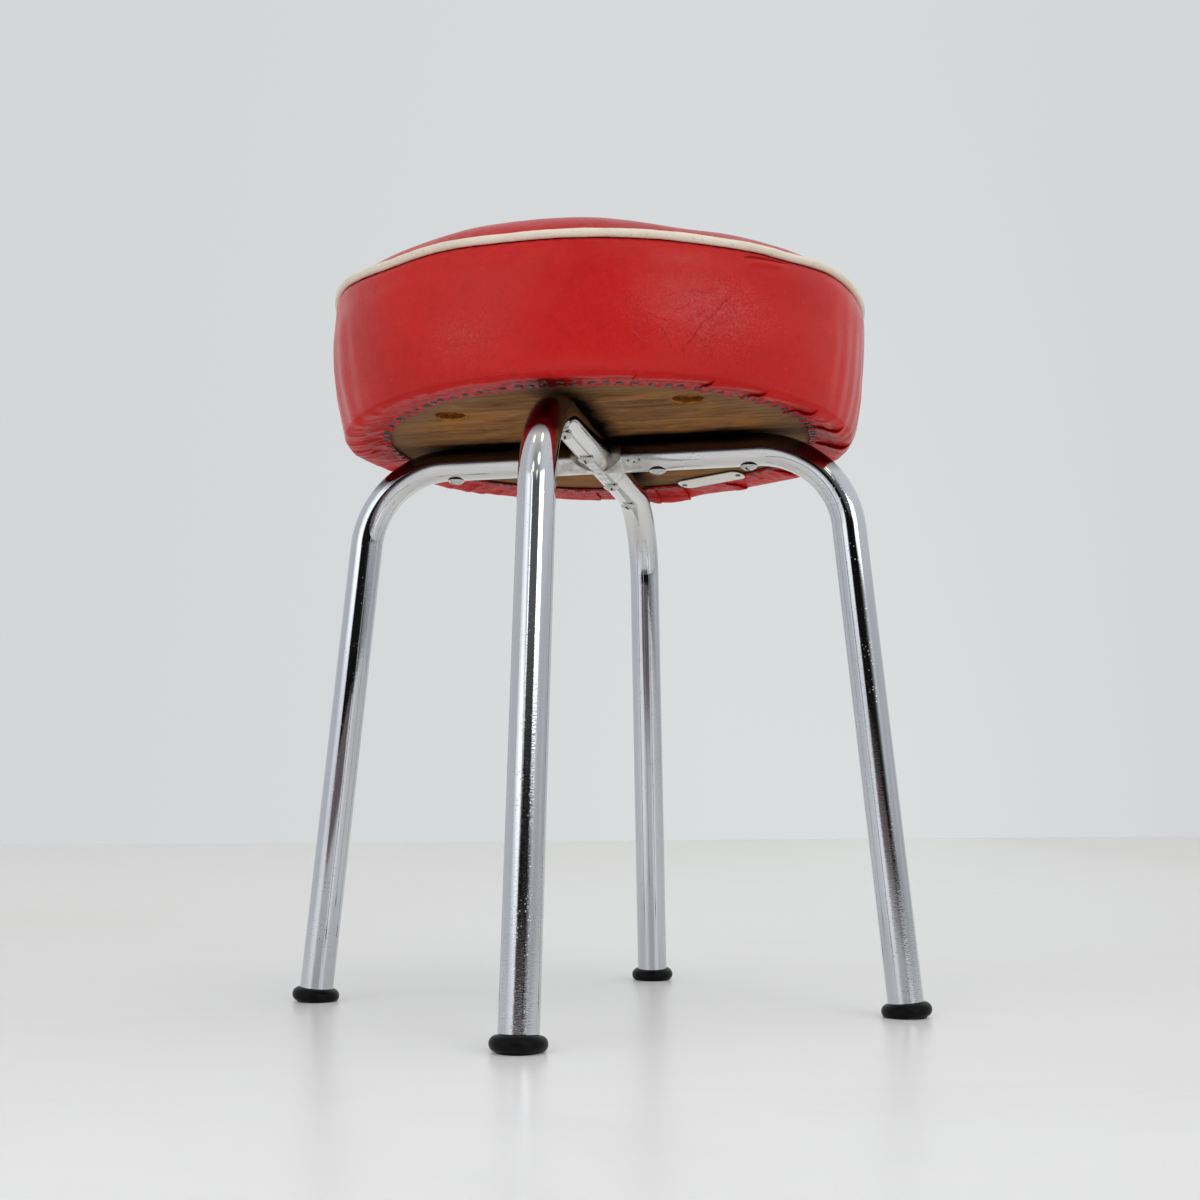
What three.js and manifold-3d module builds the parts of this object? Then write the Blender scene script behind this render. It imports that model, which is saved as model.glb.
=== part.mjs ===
// A low four-legged stool: a round padded seat with a piped edge, screwed to a frame of crossed steel tubes.
// Millimetres, +Z up. The origin is on the floor under the middle of the seat, and the front leg is at -Y.
import * as THREE from "three";
import { mergeVertices } from "three/addons/utils/BufferGeometryUtils.js";
import Module from "manifold-3d";

// Gaps and overruns
const touchGap = 0.3; // left between pieces that touch on the real stool
const overrun = 5; // how far a cutting shape reaches past what it cuts

// Frame of bent tube
const tubeDiameter = 22;
const tubeWall = 1.5;
const tubeAxisHeight = 363; // of the level runs under the seat
const bendRadius = 60; // on the tube's axis
const legInset = 2; // of the corner where a leg's line meets the level run, in from the board's edge
const legSplay = 33; // how much further out the leg's line meets the floor
const weldRadius = 2.4; // of the bead in each corner of the crossing
const weldStandOff = 0.8; // of the bead's axis from the corner, each way
const weldSink = 4; // how much lower than the tube the bead's arc is, so that it runs out above and below

// Rubber feet, plugged into the tube ends
const soleDiameter = 31;
const soleHeight = 8.8; // along the leg, from the floor to the tube's end
const soleRound = 4.2; // radius of the bulging edge
const plugLength = 17;
const plugRibs = 2;
const ribDepth = 0.9;

// Slotted round-head wood screws, up through the tubes
const innerScrewRadius = 40; // from the stool's axis
const outerScrewInset = 4.8; // in from where the tube's bend begins
const screwHeadDiameter = 11.5;
const screwHeadHeight = 3.4;
const screwShankDiameter = 5;
const screwBite = 11; // into the board
const screwPoint = 6; // length of the tapered end
const slotWidth = 1.6;
const slotDepth = 1.4;

// Plywood board
const boardDiameter = 326;
const boardThickness = 15;
const boardEdgeRound = 1.5;
const ventDiameter = 20;
const ventInset = 50; // of a vent's middle, in from the board's edge

// Cover: a top panel and a side band of vinyl, with piping sewn between them
const vinylThickness = 1.2;
const bulgeReach = 17; // from the board's edge out to the fullest place of the side band
const bulgeDrop = 21.2; // from the piping's axis down to that place
const shoulderReach = 13.2; // from the board's edge out to the band's lower shoulder
const shoulderRise = 20; // of that shoulder over the board's underside
const lipReach = 6.6; // from the board's edge out to the outside of the rolled lower edge
const lipOuterDrop = 2; // of that place below the board's underside
const lipDrop = 6; // of the rolled edge at its lowest, right below the board's edge
const flangeWidth = 24; // from the board's edge in to the cut edge, tacked under the board
const flangeLift = 12; // from the board's edge in to where the flange leaves the board
const seamRise = 75.2; // from the board's underside up to the piping's axis
const pipingReach = 14.3; // from the board's edge out to the piping's axis
const pipingDiameter = 5;
const seamAllowance = 6; // width of the edges that are sewn together inside
const seamLiftLeft = 11.5; // how much higher the seam stands at the left than at the front and rear
const seamLiftRight = 6.5;
const crownHeight = 34; // of the panel over its seam
const crownPower = 5; // a flat top with steep shoulders
const pleatDepth = 2.6; // of the gathers where the band turns under

// Padding
const waddingThickness = 6; // over the pad

// Shares and angles chosen by eye
const beadReachShare = 0.8; // of the quarter turns up and down that a weld bead follows
const pleatVariationShare = 0.5; // how much shallower the slightest pleats are
const crownRadiusShares = [1, 0.97, 0.93, 0.88, 0.8, 0.68, 0.5, 0.25, 0];
const valleyStartAngle = -0.48 * Math.PI; // where the side band meets the underside of the piping
const settlePower = 4; // how near the rim the lift of the seam stays
const ventAngles = [-0.752, -0.273, 0.25, 0.75].map((halfTurns) => halfTurns * Math.PI);
const arms = [
  { side: "right", angle: 0, corner: "rear_right", slotTurns: [0.3, 1.1] },
  { side: "rear", angle: Math.PI / 2, corner: "rear_left", slotTurns: [0.2, -0.3] },
  { side: "left", angle: Math.PI, corner: "front_left", slotTurns: [1.4, 0.7] },
  { side: "front", angle: -Math.PI / 2, corner: "front_right", slotTurns: [-0.1, 0.4] },
];

// Facets
const tubeSides = 20;
const bendSteps = 8;
const seatSides = 40;
const beadSides = 8;
const beadSteps = 8;
const footSides = 16;
const soleSteps = 3;
const screwSides = 12;
const domeSteps = 2;
const holeSides = 16;
const sideSteps = 12;
const valleySteps = 1;
const cordSteps = 8;

// Sizes that follow
const boardRadius = boardDiameter / 2;
const legTopRadius = boardRadius - legInset;
const footprintRadius = legTopRadius + legSplay;
const tubeRadius = tubeDiameter / 2;
const boreRadius = tubeRadius - tubeWall;
const legLean = Math.atan2(footprintRadius - legTopRadius, tubeAxisHeight);
const bendTurn = Math.PI / 2 - legLean;
const bendEndRadius = legTopRadius - bendRadius * Math.tan(bendTurn / 2);
const outerScrewRadius = bendEndRadius - outerScrewInset;
const boardUnderside = tubeAxisHeight + tubeRadius + touchGap;
const boardTop = boardUnderside + boardThickness;
const ventRadius = boardRadius - ventInset;
const seamHeight = boardUnderside + seamRise;
const pipingRadius = boardRadius + pipingReach;
const cordRadius = pipingDiameter / 2;
const seamRadius = pipingRadius - cordRadius - touchGap;
const weltHalf = vinylThickness / 2; // half the thickness of the piping's sewn edge
const bandSeamHeight = seamHeight - weltHalf - touchGap;
const panelSeamHeight = seamHeight + weltHalf + touchGap;
const hemInnerRadius = seamRadius - seamAllowance;
const soleSink = soleDiameter * Math.sin(legLean); // how far the sole is made past the floor, before its cut

const chrome = new THREE.MeshStandardMaterial({ color: 0xd9dadb, roughness: 0.12, metalness: 1 });
const weldMetal = new THREE.MeshStandardMaterial({ color: 0xb9b6ae, roughness: 0.4, metalness: 0.9 });
const screwMetal = new THREE.MeshStandardMaterial({ color: 0xc6c4bf, roughness: 0.3, metalness: 1 });
const rubber = new THREE.MeshStandardMaterial({ color: 0x17181a, roughness: 0.65, metalness: 0 });
const plywood = new THREE.MeshStandardMaterial({ color: 0x7b5636, roughness: 0.75, metalness: 0 });
const redVinyl = new THREE.MeshStandardMaterial({ color: 0xb42a2a, roughness: 0.38, metalness: 0 });
const creamVinyl = new THREE.MeshStandardMaterial({ color: 0xd8cdb8, roughness: 0.45, metalness: 0 });
const coir = new THREE.MeshStandardMaterial({ color: 0x5f3d1c, roughness: 0.95, metalness: 0 });
const cotton = new THREE.MeshStandardMaterial({ color: 0xcfc8b6, roughness: 0.95, metalness: 0 });

const wasm = await Module();
wasm.setup();

// A closed geometry as a solid that can be joined and cut.
function solidFrom(geometry) {
  const bare = geometry.clone();
  bare.deleteAttribute("normal");
  bare.deleteAttribute("uv");
  const merged = mergeVertices(bare);
  const vertProperties = merged.attributes.position.array;
  const triVerts = new Uint32Array(merged.index.array);
  return new wasm.Manifold(new wasm.Mesh({ numProp: 3, vertProperties, triVerts }));
}

function geometryFrom(solid) {
  const mesh = solid.getMesh();
  const indexed = new THREE.BufferGeometry();
  indexed.setAttribute("position", new THREE.BufferAttribute(mesh.vertProperties, 3));
  indexed.setIndex(new THREE.BufferAttribute(mesh.triVerts, 1));
  const geometry = indexed.toNonIndexed();
  geometry.computeVertexNormals();
  return geometry;
}

function addPiece(group, name, geometry, material) {
  const mesh = new THREE.Mesh(geometry, material);
  mesh.name = name;
  group.add(mesh);
  return mesh;
}

// An upright cylinder from one height to another.
function upright(radius, bottom, top, sides) {
  const geometry = new THREE.CylinderGeometry(radius, radius, top - bottom, sides);
  geometry.rotateX(Math.PI / 2);
  geometry.translate(0, 0, (bottom + top) / 2);
  return geometry;
}

// A profile of radius and height turned about the Z axis.
function turned(profile, sides) {
  const geometry = new THREE.LatheGeometry(profile, sides);
  geometry.rotateX(Math.PI / 2);
  return geometry;
}

// A curve through chosen stations, so that a straight run takes one step and a bend takes many.
class Route extends THREE.Curve {
  constructor(stations) {
    super();
    this.stations = stations;
  }
  station(share) {
    return this.stations[Math.round(share * (this.stations.length - 1))];
  }
  getPointAt(share, target = new THREE.Vector3()) {
    return target.copy(this.station(share).point);
  }
  getTangentAt(share, target = new THREE.Vector3()) {
    return target.copy(this.station(share).tangent);
  }
}

// A leg in its own plane, from the tube's lower end up and round the bend. Outward is +X.
function legStations() {
  const up = new THREE.Vector3(-Math.sin(legLean), 0, Math.cos(legLean));
  const lowerEnd = new THREE.Vector3(footprintRadius, 0, 0).addScaledVector(up, soleHeight + touchGap);
  const stations = [{ point: lowerEnd, tangent: up }];
  for (let step = 0; step <= bendSteps; step += 1) {
    const angle = legLean + (bendTurn * step) / bendSteps;
    const outward = new THREE.Vector3(Math.cos(angle), 0, Math.sin(angle));
    const centre = new THREE.Vector3(bendEndRadius, 0, tubeAxisHeight - bendRadius);
    const tangent = new THREE.Vector3(-outward.z, 0, outward.x);
    stations.push({ point: centre.addScaledVector(outward, bendRadius), tangent });
  }
  return stations;
}

// The same leg on the other side of the stool's axis, followed from the bend down to its end.
function oppositeStations() {
  const turnedOver = legStations().map(({ point, tangent }) => ({
    point: new THREE.Vector3(-point.x, 0, point.z),
    tangent: new THREE.Vector3(tangent.x, 0, -tangent.z),
  }));
  return turnedOver.reverse();
}

function hollowTube(stations) {
  const section = new THREE.Shape().absarc(0, 0, tubeRadius, 0, 2 * Math.PI);
  section.holes.push(new THREE.Path().absarc(0, 0, boreRadius, 0, 2 * Math.PI));
  const extrudePath = new Route(stations);
  const steps = stations.length - 1;
  return new THREE.ExtrudeGeometry(section, { extrudePath, steps, curveSegments: tubeSides / 2 });
}

// A solid bar with the tube's outline and a touching gap round it, level and along Y or X.
function tubeClearance(alongY) {
  const length = 2 * footprintRadius;
  const bar = new THREE.CylinderGeometry(tubeRadius + touchGap, tubeRadius + touchGap, length, 2 * tubeSides);
  if (!alongY) {
    bar.rotateZ(Math.PI / 2);
  }
  bar.translate(0, 0, tubeAxisHeight);
  return solidFrom(bar);
}

// Screw holes through both walls, on the outward side of the arm's frame.
function drilled(tube, radii) {
  const holeRadius = screwShankDiameter / 2 + touchGap;
  const bottom = tubeAxisHeight - tubeRadius - overrun;
  const top = tubeAxisHeight + tubeRadius + overrun;
  return radii.reduce((solid, radius) => {
    const hole = upright(holeRadius, bottom, top, holeSides).translate(radius, 0, 0);
    return solid.subtract(solidFrom(hole));
  }, tube);
}

// Both side legs and the run between them are one tube.
function crossTube() {
  const tube = solidFrom(hollowTube([...legStations(), ...oppositeStations()]));
  return geometryFrom(
    drilled(tube, [innerScrewRadius, outerScrewRadius, -innerScrewRadius, -outerScrewRadius]),
  );
}

// The front and rear legs are cut to a saddle that fits the cross tube's side.
function copedLegTube() {
  const level = { point: new THREE.Vector3(0, 0, tubeAxisHeight), tangent: new THREE.Vector3(-1, 0, 0) };
  const tube = solidFrom(hollowTube([...legStations(), level])).subtract(tubeClearance(true));
  return geometryFrom(drilled(tube, [innerScrewRadius, outerScrewRadius]));
}

// A bead along the saddle line in one corner of the crossing, between +X and +Y.
// Equal tubes meet in a flat ellipse, and the bead's flatter one dives into them above and below.
function weldBead() {
  const across = tubeRadius + weldStandOff;
  const rise = tubeRadius - weldSink;
  const stations = [];
  for (let step = 0; step <= beadSteps; step += 1) {
    const angle = (Math.PI / 2) * ((2 * step) / beadSteps - 1) * beadReachShare;
    const level = across * Math.cos(angle);
    const point = new THREE.Vector3(level, level, tubeAxisHeight + rise * Math.sin(angle));
    const slope = -across * Math.sin(angle);
    const tangent = new THREE.Vector3(slope, slope, rise * Math.cos(angle)).normalize();
    stations.push({ point, tangent });
  }
  const section = new THREE.Shape().absarc(0, 0, weldRadius, 0, 2 * Math.PI);
  const extrudePath = new Route(stations);
  const bead = new THREE.ExtrudeGeometry(section, {
    extrudePath,
    steps: beadSteps,
    curveSegments: beadSides / 2,
  });
  return geometryFrom(solidFrom(bead).subtract(tubeClearance(true)).subtract(tubeClearance(false)));
}

// A round head with a slot across it, a shank and a point. The head bears on the tube at height zero.
function screw() {
  const headRadius = screwHeadDiameter / 2;
  const shankRadius = screwShankDiameter / 2;
  const tip = tubeDiameter + 2 * touchGap + screwBite;
  const profile = new THREE.Path();
  const domeRadius = (headRadius ** 2 + screwHeadHeight ** 2) / (2 * screwHeadHeight);
  const domeReach = Math.asin(headRadius / domeRadius);
  const poleAngle = -Math.PI / 2;
  profile.absarc(0, domeRadius - screwHeadHeight, domeRadius, poleAngle, poleAngle + domeReach);
  profile.lineTo(shankRadius, 0);
  profile.lineTo(shankRadius, tip - screwPoint);
  profile.lineTo(0, tip);
  const body = solidFrom(turned(profile.getPoints(domeSteps), screwSides));
  const slot = new THREE.BoxGeometry(screwHeadDiameter + overrun, slotWidth, overrun + slotDepth);
  slot.translate(0, 0, slotDepth - screwHeadHeight - (overrun + slotDepth) / 2);
  return geometryFrom(body.subtract(solidFrom(slot)));
}

// A ribbed plug inside the tube and a bulging sole under its end, cut flat on the floor.
function foot() {
  const plugRadius = boreRadius - touchGap;
  const coreRadius = plugRadius - ribDepth;
  const soleRadius = soleDiameter / 2;
  const profile = new THREE.Path();
  profile.moveTo(0, -soleSink);
  profile.lineTo(soleRadius - soleRound, -soleSink);
  profile.absarc(soleRadius - soleRound, soleHeight / 2, soleRound, -Math.PI / 2, Math.PI / 2);
  profile.lineTo(soleRadius - soleRound, soleHeight);
  profile.lineTo(coreRadius, soleHeight);
  const ribPitch = plugLength / plugRibs;
  for (let rib = 0; rib < plugRibs; rib += 1) {
    const base = soleHeight + rib * ribPitch;
    profile.lineTo(coreRadius, base + ribPitch / 3);
    profile.lineTo(plugRadius, base + ribPitch / 2);
    profile.lineTo(coreRadius, base + ribPitch);
  }
  profile.lineTo(0, soleHeight + plugLength);
  const geometry = turned(profile.getPoints(soleSteps), footSides);
  geometry.rotateY(-legLean);
  geometry.translate(footprintRadius, 0, 0);
  const ground = new THREE.BoxGeometry(2 * soleDiameter, 2 * soleDiameter, soleDiameter);
  ground.translate(footprintRadius, 0, -soleDiameter / 2);
  return geometryFrom(solidFrom(geometry).subtract(solidFrom(ground)));
}

// The plywood disc, with its air vents and a blind hole for each screw.
function board() {
  const edge = boardRadius - boardEdgeRound;
  const profile = new THREE.Path();
  profile.moveTo(0, boardUnderside);
  profile.lineTo(edge, boardUnderside);
  profile.lineTo(boardRadius, boardUnderside + boardEdgeRound);
  profile.lineTo(boardRadius, boardTop - boardEdgeRound);
  profile.lineTo(edge, boardTop);
  profile.lineTo(0, boardTop);
  let solid = solidFrom(turned(profile.getPoints(), seatSides));
  for (const angle of ventAngles) {
    const hole = upright(ventDiameter / 2, boardUnderside - overrun, boardTop + overrun, holeSides);
    hole.translate(ventRadius * Math.cos(angle), ventRadius * Math.sin(angle), 0);
    solid = solid.subtract(solidFrom(hole));
  }
  const pilotRadius = screwShankDiameter / 2 + touchGap;
  const pilotTop = boardUnderside + screwBite + touchGap;
  for (const { angle } of arms) {
    for (const radius of [innerScrewRadius, outerScrewRadius]) {
      const pilot = upright(pilotRadius, boardUnderside - overrun, pilotTop, screwSides);
      pilot.translate(radius * Math.cos(angle), radius * Math.sin(angle), 0);
      solid = solid.subtract(solidFrom(pilot));
    }
  }
  return geometryFrom(solid);
}

// The outside of the side band, from its cut edge under the board, round the rolled lip and up to the seam.
function bandOutline() {
  const flangeHeight = boardUnderside - touchGap - vinylThickness;
  const valleyRadius = cordRadius + touchGap;
  const valleyEndAngle = Math.asin((weltHalf + touchGap) / valleyRadius) - Math.PI;
  const valley = new THREE.Path();
  valley.absarc(pipingRadius, seamHeight, valleyRadius, valleyStartAngle, valleyEndAngle, true);
  const [valleyStart, ...valleyRest] = valley.getPoints(valleySteps);
  const side = new THREE.SplineCurve([
    new THREE.Vector2(boardRadius - flangeWidth, flangeHeight),
    new THREE.Vector2(boardRadius - flangeLift, flangeHeight - vinylThickness),
    new THREE.Vector2(boardRadius, boardUnderside - lipDrop),
    new THREE.Vector2(boardRadius + lipReach, boardUnderside - lipOuterDrop),
    new THREE.Vector2(boardRadius + shoulderReach, boardUnderside + shoulderRise),
    new THREE.Vector2(boardRadius + bulgeReach, seamHeight - bulgeDrop),
    valleyStart,
  ]);
  return [...side.getPoints(sideSteps), ...valleyRest];
}

// The outside of the top panel, from its seam in to the middle.
function crownOutline() {
  return crownRadiusShares.map((share) => {
    const rise = crownHeight * (1 - share ** crownPower);
    return new THREE.Vector2(seamRadius * share, panelSeamHeight + rise);
  });
}

// An outline moved into the seat, square to itself at each point.
function inset(outline, depth) {
  return outline.map((point, index) => {
    const before = outline[Math.max(index - 1, 0)];
    const after = outline[Math.min(index + 1, outline.length - 1)];
    const along = after.clone().sub(before).normalize();
    const radius = point.x > 0 ? point.x - along.y * depth : 0;
    return new THREE.Vector2(radius, point.y + along.x * depth);
  });
}

// The pull of the cover: the seam and what lies near it stand higher at the two sides, and most at the left.
function settle(geometry) {
  const position = geometry.getAttribute("position");
  for (let i = 0; i < position.count; i += 1) {
    const [x, y, z] = [position.getX(i), position.getY(i), position.getZ(i)];
    const sideways = (x < 0 ? seamLiftLeft : seamLiftRight) * Math.cos(Math.atan2(y, x)) ** settlePower;
    const outwards = (Math.hypot(x, y) / seamRadius) ** settlePower;
    const upwards = THREE.MathUtils.smoothstep(z, boardTop, seamHeight);
    position.setZ(i, z + sideways * outwards * upwards);
  }
  geometry.computeVertexNormals();
  return geometry;
}

function closedProfile(points) {
  return [...points, points[0].clone()];
}

// Pushes the band's outer face out along each second column, most under the board and not at all at mid height.
function pleat(geometry, outside, rows) {
  const pushed = inset(outside, -pleatDepth);
  const position = geometry.getAttribute("position");
  for (let i = 0; i < position.count; i += 1) {
    const row = i % rows;
    const column = Math.floor(i / rows) % seatSides;
    if (row > 0 && row < outside.length && column % 2 === 0) {
      const rise = THREE.MathUtils.smoothstep(outside[row].y, boardUnderside - lipDrop, boardTop);
      const share = (1 - rise) * (1 - pleatVariationShare * Math.sin(column) ** 2);
      const push = pushed[row].clone().sub(outside[row]).multiplyScalar(share);
      const angle = Math.atan2(position.getY(i), position.getX(i));
      position.setX(i, position.getX(i) + push.x * Math.cos(angle));
      position.setY(i, position.getY(i) + push.x * Math.sin(angle));
      position.setZ(i, position.getZ(i) + push.y);
    }
  }
}

// The vinyl strip round the seat, gathered in pleats where it turns under the board.
function sideBand() {
  const outside = bandOutline();
  const hem = [
    new THREE.Vector2(hemInnerRadius, bandSeamHeight),
    new THREE.Vector2(hemInnerRadius, bandSeamHeight - vinylThickness),
  ];
  const inside = inset(outside, vinylThickness)
    .filter((point, index) => index % 2 === 0 && point.y < bandSeamHeight - vinylThickness)
    .reverse();
  const profile = closedProfile([...outside, ...hem, ...inside]);
  const geometry = turned(profile, seatSides);
  pleat(geometry, outside, profile.length);
  return settle(geometry);
}

// The round vinyl top, crowned over the padding, with its edge turned in at the seam.
function topPanel() {
  const outside = crownOutline();
  const inside = inset(outside, vinylThickness)
    .filter((point) => point.y > panelSeamHeight + vinylThickness)
    .reverse();
  const hem = [
    new THREE.Vector2(hemInnerRadius, panelSeamHeight + vinylThickness),
    new THREE.Vector2(hemInnerRadius, panelSeamHeight),
  ];
  return settle(turned(closedProfile([...outside, ...inside, ...hem]), seatSides));
}

// A covered cord with its sewn edge pointing in.
function piping() {
  const edgeAngle = Math.asin(weltHalf / cordRadius);
  const cord = new THREE.Path();
  cord.absarc(pipingRadius, seamHeight, cordRadius, edgeAngle - Math.PI, Math.PI - edgeAngle);
  const sewnEdge = [
    new THREE.Vector2(hemInnerRadius, seamHeight + weltHalf),
    new THREE.Vector2(hemInnerRadius, seamHeight - weltHalf),
  ];
  return settle(turned(closedProfile([...cord.getPoints(cordSteps / 2), ...sewnEdge]), seatSides));
}

// The points of an inset crown that lie over the board.
function overBoard(depth) {
  const crown = crownOutline();
  return inset(crown, depth).filter((point, index) => crown[index].x < boardRadius);
}

// Cotton felt over the pad and round the board's edge, with a groove for the sewn edges.
function wadding() {
  const skin = vinylThickness + touchGap;
  const stack = weltHalf + touchGap + vinylThickness + touchGap;
  const tuckRadius = boardRadius - flangeLift;
  const band = bandOutline();
  const isOutside = (point, index) =>
    index % 2 === 0 && band[index].x > tuckRadius - touchGap && point.y < seamHeight - stack;
  const outerSide = inset(band, skin).filter(isOutside);
  const groove = [
    new THREE.Vector2(hemInnerRadius - touchGap, seamHeight - stack),
    new THREE.Vector2(hemInnerRadius - touchGap, seamHeight + stack),
  ];
  const outerTop = inset(crownOutline(), skin).filter((point) => point.y > seamHeight + stack);
  const innerTop = overBoard(skin + waddingThickness).reverse();
  const innerSide = [
    new THREE.Vector2(boardRadius + touchGap, seamHeight),
    new THREE.Vector2(boardRadius + touchGap, boardUnderside - touchGap),
    new THREE.Vector2(tuckRadius, boardUnderside - touchGap),
  ];
  const profile = closedProfile([...outerSide, ...groove, ...outerTop, ...innerTop, ...innerSide]);
  return settle(turned(profile, seatSides));
}

// The springy pad of bonded coconut fibre that carries the sitter, flat on the board.
function fibrePad() {
  const base = boardTop + touchGap;
  const depth = vinylThickness + touchGap + waddingThickness + touchGap;
  const foot = [
    new THREE.Vector2(0, base),
    new THREE.Vector2(boardRadius, base),
    new THREE.Vector2(boardRadius, seamHeight - touchGap),
  ];
  return settle(turned([...foot, ...overBoard(depth)], seatSides));
}

// The seat
const stool = new THREE.Group();
const seat = new THREE.Group();
addPiece(seat, "seat_board", board(), plywood);
addPiece(seat, "fibre_pad", fibrePad(), coir);
addPiece(seat, "wadding", wadding(), cotton);
addPiece(seat, "top_panel", topPanel(), redVinyl);
addPiece(seat, "side_band", sideBand(), redVinyl);
addPiece(seat, "piping", piping(), creamVinyl);
stool.add(seat);

// The frame: each arm is a group turned to its side, with outward as its own +X
const frame = new THREE.Group();
addPiece(frame, "cross_tube", crossTube(), chrome);
for (const { side, angle, corner, slotTurns } of arms) {
  const arm = new THREE.Group();
  arm.rotation.z = angle;
  if (side === "front" || side === "rear") {
    addPiece(arm, `${side}_leg_tube`, copedLegTube(), chrome);
  }
  addPiece(arm, `${side}_foot`, foot(), rubber);
  addPiece(arm, `weld_${corner}`, weldBead(), weldMetal);
  for (const [index, radius] of [innerScrewRadius, outerScrewRadius].entries()) {
    const place = index === 0 ? "inner" : "outer";
    const mesh = addPiece(arm, `${side}_${place}_screw`, screw(), screwMetal);
    mesh.position.set(radius, 0, tubeAxisHeight - tubeRadius - touchGap);
    mesh.rotation.z = slotTurns[index];
  }
  frame.add(arm);
}
stool.add(frame);

export default stool;
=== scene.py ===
# A low four-legged stool with a round piped vinyl seat: the looks, round the fixed frame.
# Metres, +Z up. The front leg is at -Y, and angles round the seat are measured from +X.
import math

import bmesh
import bpy
import numpy as np
from mathutils import Matrix, Vector


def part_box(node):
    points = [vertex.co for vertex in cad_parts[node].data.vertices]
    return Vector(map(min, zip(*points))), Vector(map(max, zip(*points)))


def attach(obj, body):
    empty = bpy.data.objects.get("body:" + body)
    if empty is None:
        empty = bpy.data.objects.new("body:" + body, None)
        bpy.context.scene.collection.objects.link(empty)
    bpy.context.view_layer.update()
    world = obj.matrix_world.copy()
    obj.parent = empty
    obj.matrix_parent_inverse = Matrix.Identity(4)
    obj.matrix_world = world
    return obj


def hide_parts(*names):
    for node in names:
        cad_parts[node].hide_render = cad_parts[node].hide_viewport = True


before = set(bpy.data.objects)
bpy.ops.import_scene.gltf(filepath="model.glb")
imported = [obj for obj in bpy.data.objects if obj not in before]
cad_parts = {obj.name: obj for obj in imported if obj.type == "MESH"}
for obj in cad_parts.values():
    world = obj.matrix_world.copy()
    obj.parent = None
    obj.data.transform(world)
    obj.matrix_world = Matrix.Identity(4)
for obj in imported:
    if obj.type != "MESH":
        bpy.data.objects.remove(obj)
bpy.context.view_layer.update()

mm = 0.001

# Camera, as a real size and place
camera_place = (208.1 * mm, -954.1 * mm, 112.6 * mm)
camera_azimuth = math.radians(12.277)
camera_pitch = math.radians(8.885)
camera_roll = math.radians(0.1)
camera_lens = 44.335
camera_sensor = 36

# Sizes that the frame gives
board_low, board_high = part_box("seat_board")
board_radius = board_high.x
board_underside = board_low.z
board_top = board_high.z
piping_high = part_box("piping")[1]
cross_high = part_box("cross_tube")[1]
tube_radius = cross_high.y
axis_height = cross_high.z - tube_radius

# Bent tubes
tube_wall = 1.5 * mm
bend_radius = 60 * mm
leg_inset = 2 * mm
leg_splay = 33 * mm
leg_top_radius = board_radius - leg_inset
footprint_radius = leg_top_radius + leg_splay
leg_lean = math.atan2(leg_splay, axis_height)
bend_turn = math.pi / 2 - leg_lean
bend_end_radius = leg_top_radius - bend_radius * math.tan(bend_turn / 2)
bend_flattening = 0.03
tube_sides = 64
fillet_reach = 6.5 * mm

# Feet
sole_radius = 15.5 * mm
sole_height = 8.8 * mm
sole_thickness = 3.5 * mm
sole_bulge = 4.4 * mm
plug_length = 17 * mm
plug_ribs = 3
rib_spacing = 5 * mm
rib_depth = 0.8 * mm
touch_gap = 0.3 * mm

# Flaws in the plating of the level run
flaw_places = [
    (21.6 * mm, -9.6 * mm, 357.6 * mm),
    (25.5 * mm, -8.9 * mm, 356.5 * mm),
    (29.1 * mm, -9.7 * mm, 357.8 * mm),
]

# Screws, tacks and plate
screw_radii = {"inner": 40 * mm, "outer": 101.5 * mm}
head_radius = 5.75 * mm
head_height = 2.7 * mm
slot_width = 1.3 * mm
slot_depth = 1.2 * mm
shank_radius = 2.5 * mm
shank_length = 26 * mm
screw_length = 33 * mm
tack_radius = 2.6 * mm
tack_height = 1.2 * mm
tack_count = 97
plate_centre = (60 * mm, 116 * mm)
plate_direction = (0.88, -0.47)
plate_length = 57 * mm
plate_width = 16 * mm
plate_thickness = 0.6 * mm
plate_tilt = math.radians(7)
pin_radius = 2.1 * mm

# Board
board_edge_round = 1.2 * mm
vent_radius = 10 * mm
vent_reach = board_radius - 50 * mm
vent_angles = [math.radians(angle) for angle in (-135.4, -49.1, 45, 135)]

# Cover
vinyl = 1.2 * mm
cord_radius = 2.5 * mm
piping_radius = piping_high.x - cord_radius
seam_height = 449.5 * mm
seam_lift_left = 9.6 * mm
seam_lift_right = 4.7 * mm
seam_lift_near_left = 2 * mm
seam_lift_near_right = 1.3 * mm
sewn_edge = 6 * mm
crown_height = 36.2 * mm
crown_power = 5.2
flange_depth = 2.4 * mm
wadding_thickness = 6 * mm
cover_depth = vinyl + 2.6 * mm

# Folds of the gathered edge: angle at the lip, how far it has turned at its inner end, and depth in mm
folds = [
    (-175.0, 3.0, 0.8), (-161.0, -2.5, 0.7), (-147.0, -2.0, 0.9), (-131.0, -3.0, 0.8), (-115.5, -1.5, 0.9),
    (-104.0, -0.5, 0.6), (-87.4, 0.5, 0.5), (-70.5, 0.5, 1.6), (-54.5, 1.5, 2.1), (-41.6, 2.4, 2.2),
    (-24.9, 2.3, 2.3), (-10.0, 5.5, 2.4), (6.4, 4.6, 2.4), (24.0, 4.0, 1.9), (38.0, 4.0, 2.2),
    (59.6, 2.4, 2.2), (77.0, -1.0, 1.8), (85.3, -0.3, 1.3), (102.0, 1.5, 1.6), (118.0, -2.0, 1.5),
    (135.0, 2.5, 1.4), (152.0, -2.0, 1.0), (167.0, 2.0, 0.9),
]

# Where the cover was handled: the middle, in degrees, and the ends of the finer mesh there
handled_angle = -57
handled_ends = (-75, -44)

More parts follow.
